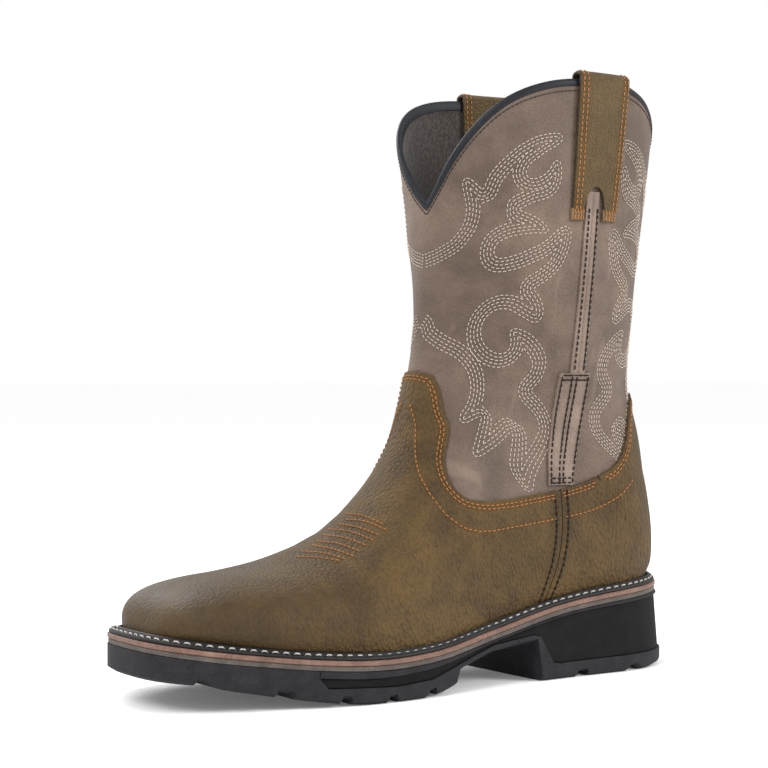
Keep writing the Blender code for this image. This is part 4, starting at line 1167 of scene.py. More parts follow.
class Finishes:
    """Every material of the boot, made once."""

    def __init__(self) -> None:
        """Makes the materials."""
        self.brown = Nubuck().material()
        self.strap = Nubuck("strap_leather", (0.032, 0.018, 0.006), (0.074, 0.045, 0.015),
                            (0.118, 0.075, 0.028), (0.020, 0.012, 0.006), 980.0, burnish_and_toe_shade=0.0).material()
        self.tab = Nubuck("tab_leather", (0.090, 0.052, 0.022), (0.180, 0.110, 0.052),
                          (0.260, 0.170, 0.090), (0.060, 0.035, 0.015), 980.0, False, 0.0).material()
        self.taupe = ShaftLeather().material()
        self.fold = ShaftLeather("seam_leather", (0.115, 0.078, 0.058), (0.250, 0.184, 0.146)).material()
        self.lining = Lining().material()
        self.piping = Moulded("black_piping", (0.003, 0.004, 0.006), (0.009, 0.011, 0.016),
                              0.55, 700.0, 0.00012, dust=0.03, specular=0.25).material()
        self.welt = Moulded("black_welt", (0.004, 0.004, 0.004), (0.012, 0.012, 0.013),
                            0.55, 600.0, 0.00015, dust=0.06, specular=0.25).material()
        self.tan = Moulded("tan_midsole", (0.110, 0.056, 0.040), (0.205, 0.118, 0.086),
                           0.62, 1100.0, 0.00012, 900.0).material()
        self.lower = Moulded("taupe_midsole", (0.050, 0.039, 0.033), (0.110, 0.090, 0.077),
                             0.70, 1100.0, 0.00012, 900.0).material()
        self.rubber = Moulded("grey_rubber", (0.007, 0.007, 0.009), (0.020, 0.020, 0.024),
                              0.70, 1400.0, 0.00012, 1200.0, dust=0.06, specular=0.22).material()
        self.foam = Moulded("black_foam", (0.003, 0.003, 0.003), (0.009, 0.0085, 0.0085),
                            0.85, 1500.0, 0.00015, 0.0, 0.7, 0.04, 0.18).material()
        self.insole = Lining("insole_cloth", (0.020, 0.016, 0.014), (0.075, 0.060, 0.050)).material()
        # Dark colour of the flat spots that paint the shade in each stitch's needle hole
        self.hole = Moulded("needle_hole", (0.010, 0.008, 0.006), (0.026, 0.019, 0.015), 0.9).material()
        threads = (ORANGE, CREAM, BLACK, FINE_BLACK, WELT_THREAD)
        self.threads = {thread: thread.material() for thread in threads}


class Sewing:
    """Lays rows of stitches on the leather."""

    rings = ((0.0, -0.9, 0.55), (0.22, 0.55, 1.0), (0.78, 0.55, 1.0), (1.0, -0.9, 0.55))
    corners = 5

    def __init__(self, finishes: Finishes) -> None:
        """Keeps the finishes for the threads."""
        self.finishes = finishes

    def marks(self, line: Array, normals: Array, thread: Thread) -> tuple[Array, Array, Array]:
        """Start, end and normal of each stitch along a line."""
        run = run_along(line)
        count = max(1, int(round(run[-1] / thread.pitch)))
        step = run[-1] / count
        start = np.arange(count) * step + thread.rest / 2
        end = start + step - thread.rest
        begin = np.stack([np.interp(start, run, column) for column in line.T], axis=-1)
        finish = np.stack([np.interp(end, run, column) for column in line.T], axis=-1)
        middle = np.stack([np.interp((start + end) / 2, run, column) for column in normals.T], axis=-1)
        return begin, finish, unit(middle)

    def sew(self, name: str, lines: list[tuple[Array, Array]], thread: Thread,
            hole_shade_dots: bool = True) -> bpy.types.Object:
        """Makes one piece of all the stitches along some lines.

        A stitch is a small five-sided tube that rises out of one hole, lies
        over the leather and dips into the next.

        Args:
            name: The piece's name.
            lines: Each line's points and the leather's normals at them.
            thread: The thread.
            hole_shade_dots: Whether a dark dot of painted shade, for the shade in the needle hole, shows at
                each stitch's start.

        Returns:
            The piece.
        """
        parts = [self.marks(line, normals, thread) for line, normals in lines]
        start, end, normal = (np.concatenate(column) for column in zip(*parts))
        along = unit(end - start)
        across = unit(np.cross(normal, along))
        share, lift, thick = np.array(self.rings).T
        turn = np.linspace(0, 2 * np.pi, self.corners, endpoint=False)
        centre = (start[:, None] + (end - start)[:, None] * share[None, :, None]
                  + normal[:, None] * (lift[None, :, None] * thread.radius + thread.arch
                                       * np.sin(np.pi * share)[None, :, None]))
        ring = (across[:, None, None] * np.cos(turn)[None, None, :, None]
                + normal[:, None, None] * np.sin(turn)[None, None, :, None])
        points = centre[:, :, None] + ring * (thick[None, :, None, None] * thread.radius)
        total = len(start)
        size = len(share) * self.corners
        tube = grid_faces(len(share), self.corners, around=True)
        offset = (np.arange(total) * size)[:, None, None]
        sides = (tube[None] + offset).reshape(-1, 4)
        caps = np.array([list(range(self.corners)), list(range(size - 1, size - 1 - self.corners, -1))])
        ends = (caps[None] + offset).reshape(-1, self.corners)
        faces = [*sides.tolist(), *ends.tolist()]
        slots = np.zeros(len(faces))
        vertices = points.reshape(-1, 3)
        # Flat dark spots on the leather: painted shade at each needle hole
        if hole_shade_dots:
            dots, dot_faces = self.hole_shade_dots(start - along * thread.rest / 2, normal, along, across,
                                         thread.radius * 1.25, len(vertices))
            vertices = np.vstack([vertices, dots])
            faces += dot_faces.tolist()
            slots = np.concatenate([slots, np.ones(len(dot_faces))])
        materials = [self.finishes.threads[thread], self.finishes.hole]
        return build(name, vertices, faces, materials, slots, sharp=3.0, merge=1e-8)

    def hole_shade_dots(self, centre: Array, normal: Array, along: Array, across: Array, radius: float,
              start: int) -> tuple[Array, Array]:
        """Small five-sided dark spots just over the leather, painted shade for each needle hole, and their
        faces.
        """
        turn = np.linspace(0, 2 * np.pi, self.corners, endpoint=False)
        ring = along[:, None] * np.cos(turn)[None, :, None] + across[:, None] * np.sin(turn)[None, :, None]
        points = centre[:, None] + ring * radius + normal[:, None] * 0.00005
        faces = np.arange(len(centre) * self.corners).reshape(-1, self.corners) + start
        return points.reshape(-1, 3), faces


def shell(name: str, outer: Array, inner: Array, materials: list, lip: float = 0.0) -> bpy.types.Object:
    """A leather shell between two grids, its last row cut with a rounded edge.

    The edge leaves the outer grid on its own normal, goes lip further out along
    the leather, and comes back to the inner grid.

    Args:
        name: The piece's name.
        outer: Grid of points on the outside.
        inner: Grid of points on the inside.
        materials: The piece's materials.
        lip: How far the rounded edge stands beyond the last row.

    Returns:
        The piece.
    """
    rim, under = outer[-1], inner[-1]
    normal = unit(rim - under)
    along = unit(np.gradient(rim, axis=0))
    away = unit(np.cross(along, normal))
    away = away * np.sign(np.sum(away * (rim - outer[-2]), axis=1, keepdims=True))
    thick = np.linalg.norm(rim - under, axis=1, keepdims=True)
    profile = ((0.45, 0.10), (0.85, 0.32), (1.0, 0.65), (0.8, 1.0))
    rings = [rim + away * lip * out - normal * thick * down for out, down in profile]
    sheet = np.concatenate([outer, np.array(rings), inner[::-1]], axis=0)
    rows, columns = sheet.shape[:2]
    faces = grid_faces(rows, columns).tolist()
    count = len(outer)
    for column in (0, columns - 1):
        for row in range(count - 1):
            back = rows - 1 - row
            faces.append([row * columns + column, (row + 1) * columns + column,
                          (back - 1) * columns + column, back * columns + column])
        faces.append([row * columns + column for row in range(count - 1, rows - count + 1)])
    edge = np.zeros(sheet.shape[:2])
    edge[count:rows - count + 1] = 1.0
    edge[count - 1] = 0.35
    return build(name, sheet, faces, materials, edge=edge, sharp=1.2)


@dataclass
class Shaft:
    """The taupe upper: one hollow wall with its lining."""

    finishes: Finishes
    columns: int = 200
    foot_rows: int = 62
    shaft_rows: int = 100
    notch_shift: float = -0.030

    def collar_height(self, around: Array) -> Array:
        """Height of the leather's rim, with the front notch a little to the outer side."""
        place, height = table(COLLAR)
        turned = around - self.notch_shift * (1 - np.abs(around)) ** 2
        return curve(place, height, np.abs(turned)) - 0.0028

    def grid(self, grow: float) -> Array:
        """The whole wall on the form moved out by grow, toe first."""
        around = np.linspace(-1, 1, self.columns + 1)
        toe = 1.0 - np.cos(np.linspace(0, np.pi / 2, 14)) ** (2 / 2.7)
        foot = np.concatenate([toe, np.linspace(1.0, 8.0, self.foot_rows - 26)[1:],
                               8.0 + 2.0 * np.sin(np.linspace(0, np.pi / 2, 14))[1:]])
        rim = LAST.at_height(around, self.collar_height(around), WALL_FACE, HEEL_ROW)
        share = np.linspace(0, 1, self.shaft_rows + 1)[1:, None]
        at = np.vstack([np.repeat(foot[:, None], len(around), axis=1),
                        HEEL_ROW + (rim - HEEL_ROW)[None, :] * share])
        return worn(LAST.surface(around[None, :], at, grow))

    def build(self) -> Skin:
        """Makes the wall, and gives its outside for the stitches."""
        outer = self.grid(WALL_FACE)
        inner = self.grid(WALL_FACE - WALL)
        rows, columns = outer.shape[:2]
        points = np.concatenate([outer.reshape(-1, 3), inner.reshape(-1, 3)])
        outside = grid_faces(rows, columns)
        under = rows * columns
        inside = grid_faces(rows, columns, start=under)[:, ::-1]
        top = np.arange(columns - 1) + (rows - 1) * columns
        rim = wall_faces(top, top + 1, under)
        foot = np.arange(rows - self.shaft_rows - 1) * columns
        walls = [wall_faces(foot + side, foot + columns + side, under) for side in (0, columns - 1)]
        faces = np.concatenate([outside, inside, rim, *walls])
        slots = np.zeros(len(faces))
        slots[len(outside):len(outside) + len(inside)] = 1
        piece = build("shaft_leather", points, faces, [self.finishes.taupe, self.finishes.lining],
                      slots, sharp=1.2)
        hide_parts("upper")
        self.outer, self.inner = outer, inner
        return Skin.of_grid(outer)


@dataclass
class Collar:
    """Black binding over the rim: a bead outside and a tape inside."""

    finishes: Finishes

    def frame(self, outer: Array, inner: Array) -> tuple[Array, Array, Array]:
        """Middle of the rim, and its directions outwards and up."""
        middle = (outer[:-1] + inner[:-1]) / 2
        across = unit(outer[:-1] - inner[:-1])
        along = unit(np.roll(middle, -1, axis=0) - np.roll(middle, 1, axis=0))
        rise = np.cross(along, across)
        return middle, across, rise * np.sign(rise[:, 2:3])

    def build(self, outer: Array, inner: Array) -> None:
        """Carries the binding's profile round the rim."""
        middle, across, rise = self.frame(outer, inner)
        profile = ((1.25, -1.5), (1.5, -1.0), (1.6, -0.2), (1.5, 0.9), (1.1, 1.9), (0.3, 2.5),
                   (-0.6, 2.4), (-1.3, 1.8), (-1.6, 0.6), (-1.7, -1.0), (-1.7, -2.2),
                   (-1.55, -2.9), (-1.3, -3.0), (-1.0, -1.0), (1.0, -1.0))
        rings = [middle + across * out * 0.001 + rise * up * 0.001 for out, up in profile]
        points = np.stack(rings, axis=1)
        faces = grid_faces(*points.shape[:2], around=True, closed=True)
        piece = build("collar_piping", points, faces, [self.finishes.piping])
        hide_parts("collar_binding")


@dataclass
class Vamp:
    """Brown leather over the foot, cut to its throat line and side seams."""

    finishes: Finishes
    step: float = 0.0014
    rows: int = 120
    tab_top: float = 0.1578
    lip: float = 0.0004

    def edge_places(self, side: Side) -> tuple[Array, Array]:
        """Places of the cut edge, from the top of the tab to the foot of the seam."""
        throat = smooth_line(np.array(list(VAMP_EDGE.values())), self.step)
        seam = smooth_line(np.array(list(SEAM_EDGE.values())), self.step)[1:] + np.array([GAP, 0.0])
        line = np.vstack([throat, seam])
        around, at, _ = LAST.place(line[:, 0], line[:, 1], side, OVERLAY_OUTSIDE)
        share = np.linspace(0, 1, 9)[:-1]
        tab_around = share * around[0]
        height = self.tab_top - (self.tab_top - VAMP_EDGE["peak_corner"][1]) * share**3
        tab_at = LAST.at_height(tab_around, height, OVERLAY_OUTSIDE)
        around = np.concatenate([tab_around, around])
        keep = around < 1.0
        return np.append(around[keep], 1.0), np.append(np.concatenate([tab_at, at])[keep], at[-1])

    def grid(self, grow: float) -> Array:
        """The vamp on the form moved out by grow, from the toe to its edge."""
        around, lateral = self.edge_places(Side.LATERAL)
        around = np.maximum.accumulate(around)
        other_around, other = self.edge_places(Side.MEDIAL)
        medial = np.interp(around, np.maximum.accumulate(other_around), other)
        columns = np.concatenate([-around[::-1], around[1:]])
        ends = np.concatenate([lateral[::-1], medial[1:]])
        toe = (1.0 - np.cos(np.linspace(0, np.pi / 2, 16)) ** (2 / 2.7)) / 9.0
        share = np.concatenate([toe, np.linspace(toe[-1], 1.0, self.rows - 15)[1:]])
        at = share[:, None] * ends[None, :]
        return worn(LAST.surface(columns[None, :], at, grow))

    def build(self) -> tuple[Skin, Array]:
        """Makes the vamp, and gives its outside as a skin and as a grid."""
        outer = self.grid(OVERLAY_OUTSIDE)
        inner = self.grid(OVERLAY_INSIDE - SUNK)
        piece = shell("vamp_leather", outer, inner, [self.finishes.brown], self.lip)
        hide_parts("vamp")
        return Skin.of_grid(outer), outer


@dataclass
class Counter:
    """Brown leather round the heel, cut to its top line and side seams."""

    finishes: Finishes
    step: float = 0.0012
    columns: int = 46
    back_height: float = 0.1478
    back_guess: float = 10.5

    def edge_places(self, side: Side) -> tuple[Array, Array]:
        """Places of the edge, from the foot of the seam to the back of the top."""
        seam = smooth_line(np.array(list(SEAM_EDGE.values())), self.step)[::-1] - np.array([GAP, 0.0])
        top = smooth_line(np.array(list(COUNTER_EDGE.values())), self.step)[1:]
        line = np.vstack([seam, top])
        around, at, _ = LAST.place(line[:, 0], line[:, 1], side, OVERLAY_OUTSIDE)
        back_at = LAST.at_height(np.array(1.0), np.array(self.back_height), OVERLAY_OUTSIDE,
                                self.back_guess)
        share = np.linspace(0, 1, 9)[1:]
        around = np.concatenate([around, around[-1] + (1 - around[-1]) * share])
        at = np.concatenate([at, at[-1] + (back_at - at[-1]) * np.sin(share * np.pi / 2)])
        return np.minimum(around, 1.0), np.maximum.accumulate(at)

    def grid(self, grow: float) -> tuple[Array, int]:
        """The counter on the form moved out by grow, and how many of its rows are on the heel."""
        around, at = self.edge_places(Side.LATERAL)
        other_around, other_at = self.edge_places(Side.MEDIAL)
        heel = 8.0 + 2.0 * np.sin(np.linspace(0, np.pi / 2, 22))
        rows = np.unique(np.round(np.concatenate([at, heel]), 5))
        rows = rows[np.concatenate([[True], np.diff(rows) > 0.004])]
        lateral = np.interp(rows, at, around)
        medial = np.interp(rows, other_at, other_around)
        share = np.linspace(0, 1, self.columns + 1)
        left = -(lateral[:, None] + (1 - lateral[:, None]) * share[None, :])
        right = medial[:, None] + (1 - medial[:, None]) * share[None, ::-1]
        columns = np.concatenate([left, right], axis=1)
        return worn(LAST.surface(columns, rows[:, None], grow)), int(np.sum(rows < HEEL_ROW - 1e-6))

    def build(self) -> tuple[Skin, Array]:
        """Makes the counter, and gives its outside as a skin and as a grid."""
        outer, heel_count = self.grid(OVERLAY_OUTSIDE)
        inner, _ = self.grid(OVERLAY_INSIDE - SUNK)
        rows, columns = outer.shape[:2]
        half = columns // 2
        faces = grid_faces(rows, columns).reshape(rows - 1, columns - 1, 4)
        keep = np.ones((rows - 1, columns - 1), bool)
        keep[:, half - 1] = False
        outside = faces[keep]
        under = rows * columns
        walls = []
        for column, count in ((0, rows - 1), (columns - 1, rows - 1), (half - 1, heel_count),
                              (half, heel_count)):
            start = np.arange(count) * columns + column
            walls.append(wall_faces(start, start + columns, under))
        top = np.arange(columns - 1) + (rows - 1) * columns
        walls.append(wall_faces(top, top + 1, under))
        every = np.concatenate([outside, outside[:, ::-1] + under, *walls])
        edge = np.zeros((2, rows, columns))
        edge[0, :, [0, -1]] = 0.6
        edge[1, :, [0, -1]] = 1.0
        points = np.concatenate([outer.reshape(-1, 3), inner.reshape(-1, 3)])
        piece = build("counter_leather", points, every, [self.finishes.brown], edge=edge, sharp=1.2)
        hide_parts("counter")
        return Skin.of_grid(outer), outer


@dataclass
class Band:
    """A strip of leather on the side of the shaft, seen from the side."""

    finishes: Finishes
    side: Side
    rows: dict[str, Row]

    def place(self, across: Array, heights: Array) -> tuple[Array, Array]:
        """x and z of places across the band at heights."""
        centre, half, height = table(self.rows)
        x = np.interp(heights, height, centre) + np.interp(heights, height, half) * across
        return x, heights

    def folded(self, name: str, node: str, profile: tuple[Row, ...], count: int) -> bpy.types.Object:
        """A band with a profile of shares across and heights over the shaft."""
        shares, lifts = np.array(profile).T
        low, high = self.rows["foot"][2], self.rows["head"][2]
        heights = np.linspace(low, high, count)
        rings = []
        for share, lift in zip(shares, lifts):
            x, z = self.place(np.full(count, share), heights)
            rings.append(LAST.side_point(x, z, self.side, WALL_FACE + lift))
        grid = np.stack(rings, axis=1)
        normal = outward(grid[:, :len(shares) // 2])
        lifted = grid + normal.mean(axis=1, keepdims=True) * RELIEF.height(grid)[..., None]
        rows, columns = grid.shape[:2]
        faces = grid_faces(rows, columns, around=True).tolist()
        faces += [list(range(columns)), list(range((rows - 1) * columns, rows * columns))]
        piece = build(name, lifted, faces, [self.finishes.fold], sharp=0.8)
        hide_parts(node)
        return piece


@dataclass
class Strap:
    """A pull strap: up the outside, over the binding and down the lining."""

    finishes: Finishes
    sewing: Sewing
    side: Side
    top: float = 0.3085
    notch_x: float = -0.0815
    notch_half: float = 0.0068
    notch_height: float = 0.0125
    crown: float = 0.0012
    thickness: float = 0.0017
    lift: float = 0.0009
    inner_foot: float = 0.2620
    columns: int = 36

    def column(self, across: Array, deeper: float) -> Array:
        """Points from the outer foot over the top to the inner foot.

        Args:
            across: Place over the width, -1 to 1.
            deeper: How far under the strap's face.

        Returns:
            A grid of rows along the strap and columns across it.
        """
        centre, half, height = table(STRAP)
        foot_x = centre[0] + half[0] * across
        beside = np.clip(np.abs(foot_x - self.notch_x) / self.notch_half, 0, 1)
        foot_z = height[0] + self.notch_height * np.sqrt(1 - beside**2)
        outside = WALL_FACE + GAP + self.thickness - deeper
        inside = WALL_FACE - WALL - GAP - self.lift - self.thickness + deeper
        share = np.linspace(0, 1, 44)[:, None]
        z = foot_z + (self.top - foot_z) * share
        x = np.interp(z, height, centre) + np.interp(z, height, half) * across
        rise = self.lift * bump_step(z, height[0], height[0] + 0.03)
        outer = LAST.side_point(x, z, self.side, outside)
        outer[..., 1] += self.side.value * rise
        head_x = centre[-1] + half[-1] * across
        z = np.linspace(self.top, self.inner_foot, 20)[:, None] + 0 * across
        inner = LAST.side_point(head_x + 0 * z, z, self.side, inside)
        middle = (outer[-1] + inner[0]) / 2
        reach = np.abs(outer[-1, :, 1:2] - inner[0, :, 1:2]) / 2
        turn = np.linspace(0, np.pi, 13)[1:-1][:, None, None]
        sideways = np.array([0.0, self.side.value, 0.0]) * np.cos(turn) * reach
        upwards = np.array([0.0, 0.0, 1.0]) * np.sin(turn) * (self.crown + self.thickness - deeper)
        return np.concatenate([outer, middle + sideways + upwards, inner])

    def build(self) -> None:
        """Makes the strap and its four rows of stitches."""
        across = np.linspace(-1, 1, self.columns + 1)
        face = self.column(across, 0.0)
        back = self.column(across, self.thickness)
        soft = self.column(np.clip(across * 1.02, -1, 1), 0.0005)
        face[:, [0, -1]] = soft[:, [0, -1]]
        rows, columns = face.shape[:2]
        points = np.concatenate([face.reshape(-1, 3), back.reshape(-1, 3)])
        edge = np.zeros((2, rows, columns))
        edge[0, :, [0, -1]] = 0.5
        edge[1] = 1.0
        name = self.side.name.lower()
        piece = build("strap_" + name, points, plate_faces(rows, columns), [self.finishes.strap],
                      edge=edge, sharp=1.1)
        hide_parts("pull_strap_" + name)
        lines = []
        for place in (-0.90, -0.74, 0.74, 0.90):
            line = self.column(np.array([place - 0.01, place, place + 0.01]), 0.0)
            normal = unit(np.cross(np.gradient(line[:, 1], axis=0), line[:, 2] - line[:, 0]))
            middle = line[30:31, 1] - np.array([[0, self.side.value, 0]]) * 0.01
            sign = np.sign(np.sum(normal[20] * (line[20, 1] - middle[0])))
            lines.append((line[:, 1], normal * sign))
        self.sewing.sew("strap_stitches_" + name, lines, ORANGE)


@dataclass
class StrapTabs:
    """Two small stitched tabs of tan leather under the feet of a pull strap."""

    finishes: Finishes
    sewing: Sewing
    side: Side
    places: tuple[Row, ...] = ((-0.0752, -0.0676), (-0.0974, -0.0880))
    foot: float = 0.2352
    head: float = 0.2412
    thickness: float = 0.0015

    def build(self) -> None:
        """Makes each tab as a thin plate on the shaft, with rows of stitches."""
        name = self.side.name.lower()
        rows = []
        for number, (back, front) in enumerate(self.places):
            x, z = np.meshgrid(np.linspace(back, front, 14), np.linspace(self.foot, self.head, 12))
            crown = 0.0004 * (1 - ((x - x.mean()) / (x.max() - x.min()) * 2) ** 4)
            face = LAST.side_point(x, z, self.side, WALL_FACE + self.thickness) + 0.0
            face[..., 1] += self.side.value * crown
            under = LAST.side_point(x, z, self.side, WALL_FACE - SUNK)
            points = np.concatenate([face.reshape(-1, 3), under.reshape(-1, 3)])
            piece = build("strap_tab_%s_%d" % (name, number + 1), points, plate_faces(*x.shape),
                          [self.finishes.tab])
            normal = np.tile([[0.0, self.side.value, 0.0]], (x.shape[0], 1))
            rows += [(face[:, column], normal) for column in (2, 5, 8, 11)]
        self.sewing.sew("tab_stitches_" + name, rows, ORANGE)


@dataclass
class Welt:
    """The black welt, with its bead, its channel and its thick stitches."""

    finishes: Finishes
    sewing: Sewing

    def build(self) -> None:
        """Carries the welt's profile round the feather edge, then sews it."""
        profile = ((0.0, -4.6, -2.0), (1.0, -0.8, -2.0), (1.0, -0.5, -1.5), (1.0, -0.7, -0.8),
                   (1.0, -1.1, -0.4), (0.8, -1.4, -0.35), (0.55, -0.6, -0.75), (0.0, 4.9, -0.35),
                   (0.0, 4.5, 0.2), (0.0, 4.1, 1.1), (0.0, 3.5, 1.45), (0.0, 2.7, 1.2),
                   (0.0, 2.3, -0.2), (0.0, -4.6, -0.3))
        rings = [self.loop(share, out * 0.001, rise * 0.001) for share, out, rise in profile]
        points = np.stack(rings, axis=1)
        faces = grid_faces(*points.shape[:2], around=True, closed=True)
        piece = build("welt_strip", points, faces, [self.finishes.welt], sharp=0.8)
        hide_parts("welt")
        line = self.loop(1.0, -0.0019, -0.00025)
        line = even_line(np.vstack([line, line[:1]]), 0.001)
        up = np.tile([[0.0, 0.0, 1.0]], (len(line), 1))
        self.sewing.sew("welt_stitches", [(line, up)], WELT_THREAD)

    def loop(self, share: float, out: float, rise: float) -> Array:
        """A loop at a share of the ledge and a distance outside the feather edge."""
        x, lateral, medial = sole_plan(share, out, 0.0)
        loop_x = np.concatenate([x, x[-2:0:-1]])
        loop_y = np.concatenate([lateral, -medial[-2:0:-1]])
        return np.stack([loop_x, loop_y, LAST.feather_height(loop_x) + rise], axis=-1)


def end_stations(tip: float, rounding: float, power: float, steps: int) -> Array:
    """x along a rounded end, closest together at its tip."""
    angle = np.linspace(0, np.pi / 2, steps + 1)
    return tip + rounding * (1 - np.cos(angle) ** (2 / power))


def sole_plan(share: float, out: float, flared: float, front: float | None = None,
              count: int = 150) -> tuple[Array, Array, Array]:
    """Both sides of the sole's plan, heel first.

    Args:
        share: Share of the ledge outside the feather edge.
        out: A further distance out.
        flared: Share of the heel's flare.
        front: Where the plan ends, if it stops before the toe.
        count: Stations between the two rounded ends.

    Returns:
        x, and the half widths of the lateral and the medial side.
    """
    grow_heel = share * 0.007 + out + flared * 0.0025
    grow_toe = share * 0.009 + out
    steps = 22
    heel = end_stations(LAST.heel_x - grow_heel, LAST.heel_round + grow_heel, LAST.heel_power, steps)
    last_place = LAST.toe_x - LAST.toe_round if front is None else front
    middle = np.linspace(heel[-1], last_place, count + 1)[1:]
    x = np.concatenate([heel, middle])
    if front is None:
        toe = -end_stations(-LAST.toe_x - grow_toe, LAST.toe_round + grow_toe, LAST.toe_power, steps)
        x = np.concatenate([x[:-1], toe[::-1]])
    ledge_x, ledge = table(LEDGE)
    flare = 0.0025 * np.clip((-0.020 - x) / 0.040, 0, 1)
    halves = []
    for side in Side:
        half = LAST.feather_width(x, side) + share * np.interp(x, ledge_x, ledge) + out + flared * flare
        halves.append(half * LAST.closure(x, grow_heel, grow_toe))
    return x, halves[0], halves[1]


@dataclass
class Sole:
    """Layers under the welt: tan and taupe midsoles, rim, wedge and outsole."""

    finishes: Finishes
    wedge_foot_tip: float = 0.0798
    wedge_head_tip: float = 0.0840

    def welt_foot(self, x: Array) -> Array:
        """Underside of the welt."""
        return LAST.feather_height(x) - 0.0020

    def midsole_foot(self, x: Array) -> Array:
        """Underside of the tan midsole."""
        return self.welt_foot(x) - 0.0028

    def lower_foot(self, x: Array) -> Array:
        """Underside of the taupe layer."""
        return self.midsole_foot(x) - 0.0025

    def rim_foot(self, x: Array) -> Array:
        """Underside of the grey rim."""
        place, thickness = table(RIM)
        return self.lower_foot(x) - curve(place, thickness, x)

    def wedge_foot(self, x: Array) -> Array:
        """Underside of the black wedge."""
        place, height = table(WEDGE_FLOOR)
        return np.interp(x, place, height)

    def tread_foot(self, x: Array) -> Array:
        """Underside of the outsole between its grooves."""
        place, height = table(TREAD)
        return np.interp(x, place, height)

    def slab(self, name: str, levels: tuple, material: bpy.types.Material) -> bpy.types.Object:
        """A layer from its levels, lowest first.

        A level has its share of the ledge, a further distance out, its share of
        the heel's flare, its height as a function of x, and its front end.
        """
        rings = []
        for share, out, flared, height, front in levels:
            x, lateral, medial = sole_plan(share, out, flared, front)
            rings.append((np.stack([x, lateral, height(x)], axis=-1),
                          np.stack([x, -medial, height(x)], axis=-1)))
        loop = [up for up, _ in rings] + [down for _, down in rings[::-1]]
        points = np.stack(loop, axis=1)
        rows, columns = points.shape[:2]
        faces = grid_faces(rows, columns, around=True).tolist()
        if levels[0][4] is not None:
            faces.append(list(range((rows - 1) * columns, rows * columns)))
        return build(name, points, faces, [material], sharp=0.7)

    def rounded(self, share: float, out: float, flares: tuple[float, float], low: Callable,
                high: Callable, front: tuple, ease: float = 0.00035) -> tuple:
        """Levels of a layer with slightly rounded upper and lower edges."""
        return (
            (share, out - ease * 1.4, flares[0], low, front[0]),
            (share, out, flares[0], lambda x: low(x) + ease, front[0]),
            (share, out, flares[1], lambda x: high(x) - ease, front[1]),
            (share, out - ease * 1.4, flares[1], high, front[1]),
        )

    def build(self) -> None:
        """Makes the layers and the outsole."""
        whole = (None, None)
        tan = self.slab("midsole_tan", self.rounded(
            1.0, 0.0, (0.0, 0.0), self.midsole_foot, lambda x: self.welt_foot(x) - GAP, whole),
            self.finishes.tan)
        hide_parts("midsole")
        lower = self.slab("midsole_taupe", self.rounded(
            1.0, -0.0004, (0.0, 0.0), self.lower_foot, lambda x: self.midsole_foot(x) - 0.0001, whole,
            0.0002), self.finishes.lower)
        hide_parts("midsole_lower")
        tips = (self.wedge_head_tip, self.wedge_head_tip)
        rim = self.slab("rim_rubber", self.rounded(
            1.0, 0.0, (0.2, 0.0), self.rim_foot, lambda x: self.lower_foot(x) - GAP / 2, tips,
            0.0003), self.finishes.rubber)
        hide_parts("sole_rim")
        wedge = self.slab("wedge_foam", self.rounded(
            1.0, -0.0012, (1.0, 0.2), self.wedge_foot, lambda x: self.rim_foot(x) - 0.0001,
            (self.wedge_foot_tip, self.wedge_head_tip), 0.0002), self.finishes.foam)
        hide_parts("sole_wedge")
        self.outsole()

    def outsole_head(self, x: Array) -> Array:
        """Top of the outsole: under the wedge, and ahead of it up to the taupe layer."""
        climb = (x - self.wedge_foot_tip) / (self.wedge_head_tip - self.wedge_foot_tip)
        slope = self.wedge_foot(x) - GAP + (self.rim_foot(x) - self.wedge_foot(x)) * np.clip(climb, 0, 1)
        return np.where(x > self.wedge_head_tip + 0.0004, self.lower_foot(x) - GAP / 2, slope)

    def groove(self, x: Array, y: Array, half: Array) -> Array:
        """Depth of the tread's grooves: wide ones that part the lugs at both
        edges, a line inside them, and narrow waves across the middle."""
        depth = np.zeros(np.broadcast(x, y).shape)
        inside = half - np.abs(y)
        for centre, width in GROOVES.values():
            across = 1 - bump_step(np.abs(x - centre), width / 2 - 0.0004, width / 2 + 0.0004)
            depth = np.maximum(depth, across * (1 - bump_step(inside, 0.0195, 0.0215)) * 0.0026)
        rail = 1 - bump_step(np.abs(inside - 0.0215), 0.0006, 0.0012)
        wave = np.abs((x + 0.004 * np.sin(y * 160.0)) % 0.010 - 0.005)
        middle = (1 - bump_step(wave, 0.0007, 0.0013)) * bump_step(inside, 0.0225, 0.0235)
        on_tread = bump_step(x, 0.012, 0.016) + (1 - bump_step(x, -0.062, -0.058))
        ends = 1 - bump_step(x, 0.128, 0.134) + 0 * y
        return np.maximum(depth, np.maximum(rail, middle) * 0.0016 * on_tread * ends)

